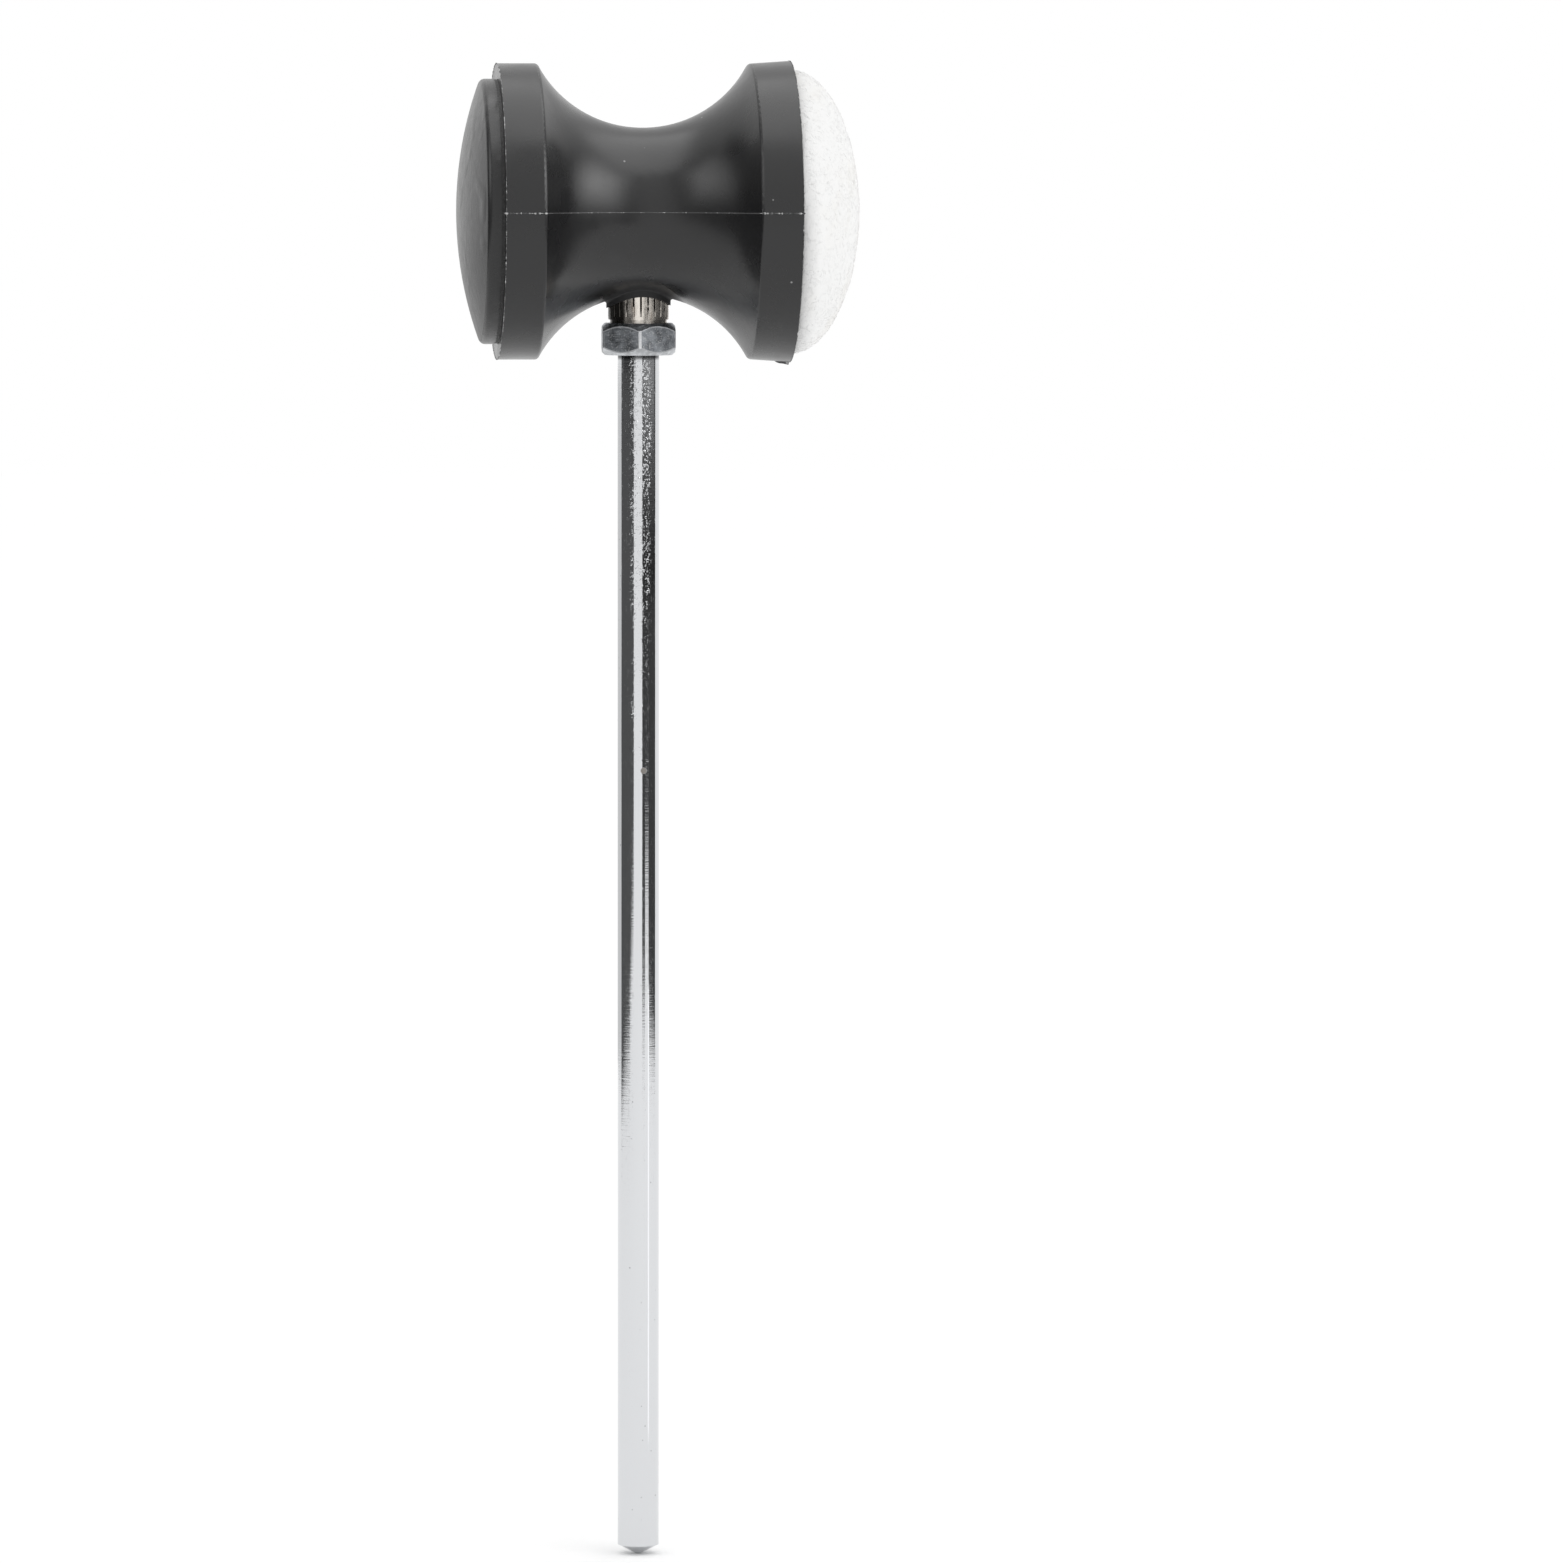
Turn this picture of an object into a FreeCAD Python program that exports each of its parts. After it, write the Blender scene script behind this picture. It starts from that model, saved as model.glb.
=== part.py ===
"""Bass drum beater: a two-faced head screwed onto a plain steel rod and jammed by a lock nut.

The rod stands along +Z, and the origin is on its axis where the straight shank ends above the point.
The head's own axis is X: the hard cap strikes towards -X and the felt pad towards +X.
Every piece takes its sizes from the sheet named Dim, in millimetres.
"""

import FreeCAD
import Part
import Sketcher
import math
import os

PARTS_FOLDER = "parts"
FULL_TURN = 360
NUT_CLOCKING = -2.5
TOLERANCE = 1e-6

# Driving dimensions in millimetres, with a count and a share among them.
SIZES = {
    # Rod
    "shank_diameter": 6.35,  # plain rod that the pedal clamps
    "shank_length": 183.0,  # straight rod below the lock nut
    "tip_height": 1.45,  # pointed lower end
    "tip_flat_diameter": 0.8,  # blunt end of the point
    "thread_diameter": 5.5,  # thread at half its depth
    "thread_end_gap": 3.0,  # insert left empty above the thread
    "thread_lead_in": 0.6,  # chamfer at the top of the thread
    "thread_clearance": 0.05,  # radial gap between the thread and the tapped bores
    # Lock nut
    "nut_across_flats": 11.1,  # spanner size
    "nut_height": 4.85,  # face to face
    "nut_face_share": 0.93,  # flat end face over the spanner size
    "nut_corner_drop": 1.2,  # depth of the end chamfer at a corner
    "nut_corner_cut": 0.13,  # worn upright corners, along each flat
    "nut_bore_chamfer": 0.45,  # lead-in at each end of the bore
    # Threaded insert
    "insert_wall": 1.82,  # metal between the tapped bore and the knurl
    "insert_length": 17.0,  # foot to top
    "insert_overhang": 4.2,  # collar that shows below the waist
    "insert_step": 0.27,  # radial step of the foot that meets the nut
    "insert_foot_height": 0.55,  # height of the stepped foot
    "insert_top_chamfer": 0.5,  # lead-in at the top
    "retention_groove_rise": 5.6,  # waist to the groove that the plastic fills
    "retention_groove_width": 1.8,  # that groove along the insert
    "retention_groove_depth": 0.55,  # that groove into the insert
    "knurl_count": 26,  # flutes round the insert
    "knurl_radius": 0.2,  # rounded flute
    "knurl_depth": 0.08,  # flute into the insert
    "knurl_setback": 0.45,  # plain band between the foot and the flutes
    "insert_clearance": 0.04,  # radial gap to the moulded bore
    "insert_headroom": 0.5,  # bore left above the insert
    # Head body
    "head_shift": 0.62,  # middle of the hollow off the rod's axis, towards the felt
    "flange_diameter": 45.0,  # both end flanges
    "waist_diameter": 25.5,  # narrowest place
    "waist_arc_radius": 18.35,  # hollow between the flanges
    "cap_flange_width": 6.07,  # flange behind the hard cap
    "felt_flange_width": 6.2,  # flange behind the felt
    "felt_flange_flare": 0.43,  # radial draft of the felt flange
    "flange_edge_radius": 0.6,  # rounded inner edge of both flanges
    "lip_wall": 0.25,  # plastic lip round the insert
    "lip_height": 1.0,  # that lip below the waist
    "lip_blend_share": 0.3,  # rounded corner between waist and lip over the lip's height
    # Hard cap
    "cap_inset": 2.35,  # edge of the flange to the cap's rim
    "cap_rim_height": 1.95,  # straight rim
    "cap_crown_height": 3.6,  # dome above the rim
    "cap_edge_radius": 0.9,  # rounded corner between rim and dome
    "cap_wall": 2.4,  # thickness of the dome
    "spigot_inset": 4.5,  # cap's rim to the ring that plugs into the flange
    "spigot_wall": 2.2,  # thickness of that ring
    "spigot_length": 4.0,  # depth of that ring in the flange
    "seat_clearance": 0.1,  # gap round each plugged piece and below the cap's ring
    # Tape under the cap
    "tape_thickness": 0.5,  # double-sided tape under the rim
    "tape_inset": 0.1,  # tape kept back from the rim
    # Felt pad and its glue
    "felt_inset": 0.9,  # edge of the flange to the felt's widest place
    "felt_crown_height": 10.5,  # dome proud of the flange
    "felt_root_inset": 2.65,  # felt's widest place to the root in the flange
    "felt_root_length": 2.6,  # depth of the root
    "glue_thickness": 0.4,  # set glue under the root
    # Cuts
    "overrun": 1.0,  # how far a cut runs past the solid
}

# Places and radii that follow from the driving dimensions.
SHANK_R = "(Dim.shank_diameter / 2)"
THREAD_R = "(Dim.thread_diameter / 2)"
TAPPED_R = f"({THREAD_R} + Dim.thread_clearance)"
INSERT_FOOT = "(Dim.shank_length + Dim.nut_height)"
ROD_TOP = f"({INSERT_FOOT} + Dim.insert_length - Dim.thread_end_gap)"
NUT_HALF = "(Dim.nut_across_flats / 2)"
NUT_CORNER_R = "(Dim.nut_across_flats / sqrt(3))"
NUT_FACE_R = f"({NUT_HALF} * Dim.nut_face_share)"
INSERT_R = f"({TAPPED_R} + Dim.insert_wall)"
WAIST_R = "(Dim.waist_diameter / 2)"
FLANGE_R = "(Dim.flange_diameter / 2)"
FOOT_DROP = f"({WAIST_R} + Dim.insert_overhang)"
HEAD_HEIGHT = f"({INSERT_FOOT} + {FOOT_DROP})"
ARC_R = "Dim.waist_arc_radius"
ARC_CENTRE_R = f"({WAIST_R} + {ARC_R})"
HOLLOW_HALF = f"sqrt({ARC_R} ^ 2 - ({ARC_CENTRE_R} - {FLANGE_R}) ^ 2)"
CAP_FACE = f"({HOLLOW_HALF} + Dim.cap_flange_width)"
FELT_FACE = f"({HOLLOW_HALF} + Dim.felt_flange_width)"
MOULDED_BORE_R = f"({INSERT_R} + Dim.insert_clearance)"
LIP_R = f"({MOULDED_BORE_R} + Dim.lip_wall)"
CAP_R = f"({FLANGE_R} - Dim.cap_inset)"
SPIGOT_R = f"({CAP_R} - Dim.spigot_inset)"
FELT_R = f"({FLANGE_R} - Dim.felt_inset)"
ROOT_R = f"({FELT_R} - Dim.felt_root_inset)"
CAP_PLACE = f"(Dim.head_shift - {CAP_FACE})"
FELT_PLACE = f"(Dim.head_shift + {FELT_FACE})"


class Corner:
    """A corner of an outline, at a place given by two expressions, and rounded where it has a radius."""

    def __init__(self, x, y, radius=None):
        self.place = (x, y)
        self.radius = radius


class Arc:
    """Makes the stretch after a corner an arc, with its centre left or right of the way along."""

    def __init__(self, radius, centre_left):
        self.radius = radius
        self.centre_left = centre_left


class EllipseQuarter:
    """Makes the stretch after a corner a quarter ellipse about the origin, longest along y."""


def make_sheet(doc):
    """Fills the spreadsheet with one aliased number for each driving dimension."""
    sheet = doc.addObject("Spreadsheet::Sheet", "Dim")
    for row, (alias, number) in enumerate(SIZES.items(), 1):
        sheet.set(f"A{row}", alias)
        sheet.set(f"B{row}", str(number))
        sheet.setAlias(f"B{row}", alias)
    doc.recompute()


def value(doc, expression):
    """Returns the number that an expression stands for."""
    return float(doc.Dim.evalExpression(expression))


def make_body(doc, label, x="0", z="0"):
    """Starts a body whose own origin lies at x and z in the beater's frame."""
    body = doc.addObject("PartDesign::Body", label)
    body.Label = label
    body.setExpression("Placement.Base.x", x)
    body.setExpression("Placement.Base.z", z)
    return body


def origin_feature(body, role):
    """Finds one of the body's own origin planes or axes."""
    return next(f for f in body.Origin.OriginFeatures if f.Role == role)


def make_sketch(body, name, plane, lift="0"):
    """Attaches a sketch to one of the body's origin planes, lifted along its normal."""
    sketch = body.newObject("Sketcher::SketchObject", name)
    sketch.AttachmentSupport = (origin_feature(body, plane), [""])
    sketch.MapMode = "FlatFace"
    sketch.setExpression("AttachmentOffset.Base.z", lift)
    return sketch


def hold_point(doc, sketch, geometry, point, place):
    """Ties both coordinates of a sketch point to their expressions, or to an axis where they are zero."""
    for direction, axis, expression in zip(("DistanceX", "DistanceY"), (-2, -1), place):
        number = value(doc, expression)
        if abs(number) < TOLERANCE:
            sketch.addConstraint(Sketcher.Constraint("PointOnObject", geometry, point, axis))
            continue
        ahead = number > 0
        ends = (-1, 1, geometry, point) if ahead else (geometry, point, -1, 1)
        index = sketch.addConstraint(Sketcher.Constraint(direction, *ends, abs(number)))
        sketch.setExpression(f"Constraints[{index}]", expression if ahead else f"-({expression})")


def hold_radius(doc, sketch, geometry, radius):
    """Ties the radius of a circle or an arc to an expression."""
    index = sketch.addConstraint(Sketcher.Constraint("Radius", geometry, value(doc, radius)))
    sketch.setExpression(f"Constraints[{index}]", radius)


def stretch_curve(doc, start, end, mark):
    """Returns the line, arc or quarter ellipse between two corners, before any corner is rounded."""
    if mark is None:
        return Part.LineSegment(start, end)
    if isinstance(mark, EllipseQuarter):
        ellipse = Part.Ellipse(end, start.negative(), FreeCAD.Vector(0, 0, 0))
        return Part.ArcOfEllipse(ellipse, -math.pi / 2, 0)
    radius = value(doc, mark.radius)
    chord = end - start
    left = FreeCAD.Vector(-chord.y, chord.x, 0).normalize()
    towards = left if mark.centre_left else left.negative()
    centre = (start + end) / 2 + towards * math.sqrt(radius ** 2 - (chord.Length / 2) ** 2)
    return Part.Arc(start, centre - towards * radius, end)


def add_curve(doc, sketch, edge, start_place, radius=None):
    """Adds a straight or round edge and returns its index with the numbers of its first and last point."""
    ends = sorted((v.Point for v in edge.Vertexes), key=start_place.distanceToPoint)
    middle = edge.valueAt((edge.FirstParameter + edge.LastParameter) / 2)
    curve = Part.Arc(ends[0], middle, ends[1]) if radius else Part.LineSegment(ends[0], ends[1])
    index = sketch.addGeometry(curve, False)
    if radius:
        hold_radius(doc, sketch, index, radius)
    forward = sketch.getPoint(index, 1).distanceToPoint(ends[0]) < TOLERANCE
    return (index, 1, 2) if forward else (index, 2, 1)


def add_ellipse_quarter(sketch, edge):
    """Adds a quarter ellipse about the origin and returns its index with the numbers of its ends."""
    index = sketch.addGeometry(Part.ArcOfEllipse(edge.Curve, edge.FirstParameter, edge.LastParameter), False)
    sketch.addConstraint(Sketcher.Constraint("Coincident", index, 3, -1, 1))
    sketch.exposeInternalGeometry(index)
    sketch.addConstraint(Sketcher.Constraint("Vertical", index + 1))
    return index, 1, 2


def join_rounded(doc, sketch, corner, sharp, before, rounding, after):
    """Ties a rounding to the stretches beside it and keeps the sharp corner as a construction point."""
    sketch.addConstraint(Sketcher.Constraint("Tangent", before[0], before[2], rounding[0], rounding[1]))
    sketch.addConstraint(Sketcher.Constraint("Tangent", rounding[0], rounding[2], after[0], after[1]))
    point = sketch.addGeometry(Part.Point(sharp), True)
    hold_point(doc, sketch, point, 1, corner.place)
    for stretch in (before, after):
        sketch.addConstraint(Sketcher.Constraint("PointOnObject", point, 1, stretch[0]))


def draw_outline(doc, sketch, outline):
    """Draws a closed outline of corners, with a mark after a corner where the next stretch is curved."""
    corners = [entry for entry in outline if isinstance(entry, Corner)]
    followers = outline[1:] + outline[:1]
    marks = [
        None if isinstance(follower, Corner) else follower
        for entry, follower in zip(outline, followers)
        if isinstance(entry, Corner)
    ]
    places = [FreeCAD.Vector(*(value(doc, e) for e in corner.place), 0) for corner in corners]
    ways = zip(places, places[1:] + places[:1], marks)
    edges = [stretch_curve(doc, start, end, mark).toShape() for start, end, mark in ways]
    roundings = {}
    for i, corner in enumerate(corners):
        if corner.radius:
            fillet = Part.ChFi2d.FilletAlgo(edges[i - 1], edges[i], Part.Plane())
            fillet.perform(value(doc, corner.radius))
            roundings[i], edges[i - 1], edges[i] = fillet.result(places[i])

    stretches = []
    for edge, place, mark in zip(edges, places, marks):
        if isinstance(mark, EllipseQuarter):
            stretches.append(add_ellipse_quarter(sketch, edge))
        else:
            stretches.append(add_curve(doc, sketch, edge, place, mark.radius if mark else None))
    for i, corner in enumerate(corners):
        before, after = stretches[i - 1], stretches[i]
        if corner.radius:
            start = sketch.getPoint(before[0], before[2])
            rounding = add_curve(doc, sketch, roundings[i], start, corner.radius)
            join_rounded(doc, sketch, corner, places[i], before, rounding, after)
            continue
        sketch.addConstraint(Sketcher.Constraint("Coincident", before[0], before[2], after[0], after[1]))
        hold_point(doc, sketch, after[0], after[1], corner.place)


def draw_circle(doc, sketch, radius, centre=("0", "0")):
    """Draws one circle."""
    place = FreeCAD.Vector(*(value(doc, coordinate) for coordinate in centre), 0)
    normal = FreeCAD.Vector(0, 0, 1)
    geometry = sketch.addGeometry(Part.Circle(place, normal, value(doc, radius)), False)
    hold_point(doc, sketch, geometry, 3, centre)
    hold_radius(doc, sketch, geometry, radius)


def turn(doc, body, name, outline, about, kind="Revolution"):
    """Turns an outline of the XZ plane a full turn about X or Z, as new material or as a groove."""
    sketch = make_sketch(body, f"{name}_outline", "XZ_Plane")
    draw_outline(doc, sketch, outline)
    feature = body.newObject(f"PartDesign::{kind}", name)
    feature.Profile = sketch
    feature.ReferenceAxis = (sketch, ["H_Axis" if about == "X" else "V_Axis"])
    feature.Angle = FULL_TURN
    doc.recompute()
    return feature


def extrude(doc, body, kind, name, sketch, length, reverse=False):
    """Pads or pockets a sketch by an expression."""
    feature = body.newObject(f"PartDesign::{kind}", name)
    feature.Profile = sketch
    feature.setExpression("Length", length)
    feature.Reversed = reverse
    doc.recompute()
    return feature


def make_rod(doc):
    """Plain shank with a blunt point below and the thread's envelope above."""
    body = make_body(doc, "rod")
    outline = [
        Corner("0", "-Dim.tip_height"),
        Corner("Dim.tip_flat_diameter / 2", "-Dim.tip_height"),
        Corner(SHANK_R, "0"),
        Corner(SHANK_R, "Dim.shank_length"),
        Corner(THREAD_R, "Dim.shank_length"),
        Corner(THREAD_R, f"{ROD_TOP} - Dim.thread_lead_in"),
        Corner(f"{THREAD_R} - Dim.thread_lead_in", ROD_TOP),
        Corner("0", ROD_TOP),
    ]
    turn(doc, body, "shank_and_thread", outline, "Z")
    return body


def make_lock_nut(doc):
    """Hexagon nut, chamfered at both ends, with a corner towards the viewer."""
    body = make_body(doc, "lock_nut", z="Dim.shank_length")
    body.Placement.Rotation = FreeCAD.Rotation(FreeCAD.Vector(0, 0, 1), NUT_CLOCKING)
    half = f"{NUT_CORNER_R} / 2"
    places = [
        ("0", f"-{NUT_CORNER_R}"),
        (NUT_HALF, f"-{half}"),
        (NUT_HALF, half),
        ("0", NUT_CORNER_R),
        (f"-{NUT_HALF}", half),
        (f"-{NUT_HALF}", f"-{half}"),
    ]
    hexagon = make_sketch(body, "hexagon", "XY_Plane")
    draw_outline(doc, hexagon, [Corner(x, y) for x, y in places])
    bar = extrude(doc, body, "Pad", "hexagon_bar", hexagon, "Dim.nut_height")
    edges = enumerate(bar.Shape.Edges, 1)
    uprights = [f"Edge{number}" for number, edge in edges if edge.BoundBox.ZLength > TOLERANCE]
    corners = body.newObject("PartDesign::Chamfer", "worn_corners")
    corners.Base = (bar, uprights)
    corners.setExpression("Size", "Dim.nut_corner_cut")

    slope = f"(Dim.nut_corner_drop / ({NUT_CORNER_R} - {NUT_FACE_R}))"
    outside = f"({NUT_CORNER_R} + Dim.overrun)"
    drop = f"({slope} * ({outside} - {NUT_FACE_R}))"
    ends = {"lower_chamfer": ("0", drop), "upper_chamfer": ("Dim.nut_height", f"Dim.nut_height - {drop}")}
    for name, (face, deep) in ends.items():
        chamfer = [Corner(NUT_FACE_R, face), Corner(outside, face), Corner(outside, deep)]
        turn(doc, body, name, chamfer, "Z", "Groove")

    mouth = f"min({TAPPED_R} + Dim.nut_bore_chamfer; ({TAPPED_R} + {NUT_FACE_R}) / 2)"
    bore = [
        Corner("0", "0"),
        Corner(mouth, "0"),
        Corner(TAPPED_R, "Dim.nut_bore_chamfer"),
        Corner(TAPPED_R, "Dim.nut_height - Dim.nut_bore_chamfer"),
        Corner(mouth, "Dim.nut_height"),
        Corner("0", "Dim.nut_height"),
    ]
    turn(doc, body, "tapped_bore", bore, "Z", "Groove")
    return body


def make_threaded_insert(doc):
    """Metal insert: a stepped foot, then a straight knurl with a groove that the plastic grips."""
    body = make_body(doc, "threaded_insert", z=INSERT_FOOT)
    foot_r = f"({INSERT_R} - Dim.insert_step)"
    groove_r = f"({INSERT_R} - Dim.retention_groove_depth)"
    groove_start = "(Dim.insert_overhang + Dim.retention_groove_rise)"
    groove_end = f"({groove_start} + Dim.retention_groove_width)"
    outline = [
        Corner(TAPPED_R, "0"),
        Corner(foot_r, "0"),
        Corner(foot_r, "Dim.insert_foot_height"),
        Corner(INSERT_R, "Dim.insert_foot_height"),
        Corner(INSERT_R, groove_start),
        Corner(groove_r, groove_start),
        Corner(groove_r, groove_end),
        Corner(INSERT_R, groove_end),
        Corner(INSERT_R, "Dim.insert_length - Dim.insert_top_chamfer"),
        Corner(f"{INSERT_R} - Dim.insert_top_chamfer", "Dim.insert_length"),
        Corner(TAPPED_R, "Dim.insert_length"),
    ]
    turn(doc, body, "turned_blank", outline, "Z")

    knurl_start = "(Dim.insert_foot_height + Dim.knurl_setback)"
    flute_sketch = make_sketch(body, "flute_outline", "XY_Plane", lift=knurl_start)
    flute_centre = ("0", f"-({INSERT_R} + Dim.knurl_radius - Dim.knurl_depth)")
    draw_circle(doc, flute_sketch, "Dim.knurl_radius", flute_centre)
    length = f"Dim.insert_length - {knurl_start} + Dim.overrun"
    flute = extrude(doc, body, "Pocket", "flute", flute_sketch, length, reverse=True)
    knurl = body.newObject("PartDesign::PolarPattern", "knurl")
    knurl.Originals = [flute]
    knurl.Axis = (origin_feature(body, "Z_Axis"), [""])
    knurl.Angle = FULL_TURN
    knurl.setExpression("Occurrences", "round(Dim.knurl_count)")
    body.Tip = knurl
    doc.recompute()
    return body


def lip_corner(doc, spool):
    """Returns the names of the edges where the lip meets the waist."""
    names = []
    for number, edge in enumerate(spool.Edges, 1):
        point = edge.valueAt((edge.FirstParameter + edge.LastParameter) / 2)
        off_axis = FreeCAD.Vector(0, point.y, point.z).Length
        off_arc = FreeCAD.Vector(point.x, 0, value(doc, ARC_CENTRE_R) - off_axis).Length
        off_rod = FreeCAD.Vector(point.x + value(doc, "Dim.head_shift"), point.y, 0).Length
        on_waist = abs(off_arc - value(doc, ARC_R)) < TOLERANCE
        if on_waist and abs(off_rod - value(doc, LIP_R)) < TOLERANCE:
            names.append(f"Edge{number}")
    return names


def make_head_body(doc):
    """Moulded spool: two flanges with seats in their faces, a hollow waist, and a lip round the insert."""
    body = make_body(doc, "head_body", x="Dim.head_shift", z=HEAD_HEIGHT)
    cap_seat_r = f"({SPIGOT_R} + Dim.seat_clearance)"
    cap_floor = f"-({CAP_FACE} - Dim.spigot_length - Dim.seat_clearance)"
    felt_seat_r = f"({ROOT_R} + Dim.seat_clearance)"
    felt_floor = f"({FELT_FACE} - Dim.felt_root_length - Dim.glue_thickness)"
    outline = [
        Corner(cap_floor, "0"),
        Corner(felt_floor, "0"),
        Corner(felt_floor, felt_seat_r),
        Corner(FELT_FACE, felt_seat_r),
        Corner(FELT_FACE, f"{FLANGE_R} + Dim.felt_flange_flare"),
        Corner(HOLLOW_HALF, FLANGE_R, "Dim.flange_edge_radius"),
        Arc(ARC_R, centre_left=False),
        Corner(f"-{HOLLOW_HALF}", FLANGE_R, "Dim.flange_edge_radius"),
        Corner(f"-{CAP_FACE}", FLANGE_R),
        Corner(f"-{CAP_FACE}", cap_seat_r),
        Corner(cap_floor, cap_seat_r),
    ]
    turn(doc, body, "spool", outline, "X")

    rod_axis = ("-Dim.head_shift", "0")
    lip_sketch = make_sketch(body, "lip_outline", "XY_Plane")
    draw_circle(doc, lip_sketch, LIP_R, rod_axis)
    extrude(doc, body, "Pad", "lip", lip_sketch, FOOT_DROP, reverse=True)
    trim_half = f"({LIP_R} + Dim.head_shift + Dim.overrun)"
    trim_r = f"({ARC_R} - Dim.lip_height)"
    trim_edge = f"({ARC_CENTRE_R} - sqrt({trim_r} ^ 2 - {trim_half} ^ 2))"
    trim_outside = f"({FOOT_DROP} + {LIP_R})"
    trim = [
        Corner(trim_half, trim_edge),
        Corner(trim_half, trim_outside),
        Corner(f"-{trim_half}", trim_outside),
        Corner(f"-{trim_half}", trim_edge),
        Arc(trim_r, centre_left=True),
    ]
    trimmed = turn(doc, body, "lip_trim", trim, "X", "Groove")
    blend = body.newObject("PartDesign::Fillet", "lip_blend")
    blend.Base = (trimmed, lip_corner(doc, trimmed.Shape))
    blend.setExpression("Radius", "Dim.lip_blend_share * Dim.lip_height")
    doc.recompute()

    bore_top = f"(Dim.insert_length + Dim.insert_headroom - {FOOT_DROP})"
    bore_sketch = make_sketch(body, "bore_outline", "XY_Plane", lift=bore_top)
    draw_circle(doc, bore_sketch, MOULDED_BORE_R, rod_axis)
    extrude(doc, body, "Pocket", "insert_bore", bore_sketch, f"{bore_top} + {FOOT_DROP}")
    return body


def make_strike_cap(doc):
    """Hard domed cap, hollow behind, with a ring that plugs into the flange."""
    body = make_body(doc, "strike_cap", x=CAP_PLACE, z=HEAD_HEIGHT)
    crown_r = f"(({CAP_R} ^ 2 + Dim.cap_crown_height ^ 2) / (2 * Dim.cap_crown_height))"
    shoulder = "(Dim.tape_thickness + Dim.cap_rim_height)"
    apex = f"({shoulder} + Dim.cap_crown_height)"
    hollow_r = f"({crown_r} - Dim.cap_wall)"
    ring_bore_r = f"({SPIGOT_R} - Dim.spigot_wall)"
    hollow_edge = f"({apex} - {crown_r} + sqrt({hollow_r} ^ 2 - {ring_bore_r} ^ 2))"
    outline = [
        Corner(f"-{apex}", "0"),
        Corner(f"-({apex} - Dim.cap_wall)", "0"),
        Arc(hollow_r, centre_left=False),
        Corner(f"-{hollow_edge}", ring_bore_r),
        Corner("Dim.spigot_length", ring_bore_r),
        Corner("Dim.spigot_length", SPIGOT_R),
        Corner("-Dim.tape_thickness", SPIGOT_R),
        Corner("-Dim.tape_thickness", CAP_R),
        Corner(f"-{shoulder}", CAP_R, "Dim.cap_edge_radius"),
        Arc(crown_r, centre_left=True),
    ]
    turn(doc, body, "dome", outline, "X")
    return body


def make_cap_tape_ring(doc):
    """Thin ring of double-sided tape between the cap's rim and the flange."""
    body = make_body(doc, "cap_tape_ring", x=CAP_PLACE, z=HEAD_HEIGHT)
    inner_r = f"({SPIGOT_R} + Dim.seat_clearance)"
    outer_r = f"({CAP_R} - Dim.tape_inset)"
    outline = [
        Corner("0", inner_r),
        Corner("0", outer_r),
        Corner("-Dim.tape_thickness", outer_r),
        Corner("-Dim.tape_thickness", inner_r),
    ]
    turn(doc, body, "tape", outline, "X")
    return body


def make_felt_pad(doc):
    """Felt dome of elliptic section, whose root sits in the flange."""
    body = make_body(doc, "felt_pad", x=FELT_PLACE, z=HEAD_HEIGHT)
    outline = [
        Corner("Dim.felt_crown_height", "0"),
        EllipseQuarter(),
        Corner("0", FELT_R),
        Corner("0", ROOT_R),
        Corner("-Dim.felt_root_length", ROOT_R),
        Corner("-Dim.felt_root_length", "0"),
    ]
    turn(doc, body, "felt", outline, "X")
    return body


def make_felt_glue_disc(doc):
    """Set glue between the felt's root and the floor of its seat."""
    body = make_body(doc, "felt_glue_disc", x=FELT_PLACE, z=HEAD_HEIGHT)
    floor = "-(Dim.felt_root_length + Dim.glue_thickness)"
    outline = [
        Corner("-Dim.felt_root_length", "0"),
        Corner("-Dim.felt_root_length", ROOT_R),
        Corner(floor, ROOT_R),
        Corner(floor, "0"),
    ]
    turn(doc, body, "glue", outline, "X")
    return body


def check_document(doc):
    """Stops where a feature failed."""
    for item in doc.Objects:
        if any(state in ("Invalid", "Error") for state in item.State):
            raise RuntimeError(f"{item.Name} has the state {item.State}")


def export(body):
    """Writes one checked piece."""
    shape = body.Shape
    if shape.isNull() or not shape.isValid() or len(shape.Solids) != 1:
        raise RuntimeError(f"{body.Label} isn't one valid solid")
    shape.exportStep(os.path.join(PARTS_FOLDER, f"{body.Label}.step"))


def main():
    doc = FreeCAD.newDocument("bass_drum_beater")
    make_sheet(doc)
    makers = (
        make_rod,
        make_lock_nut,
        make_threaded_insert,
        make_head_body,
        make_strike_cap,
        make_cap_tape_ring,
        make_felt_pad,
        make_felt_glue_disc,
    )
    bodies = [maker(doc) for maker in makers]
    doc.recompute()
    check_document(doc)
    os.makedirs(PARTS_FOLDER, exist_ok=True)
    for body in bodies:
        export(body)


main()
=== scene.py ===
"""Bass drum beater: its finishes, felt and moulding flash, with the studio and the camera.

Every length is in metres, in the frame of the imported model: the rod stands along +Z, the hard cap
strikes towards -X, the felt towards +X, and the camera looks from -Y.
"""

import logging
import math
from dataclasses import dataclass, replace
from enum import Enum
from typing import Any

import bmesh
import bpy
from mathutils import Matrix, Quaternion, Vector, noise


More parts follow.
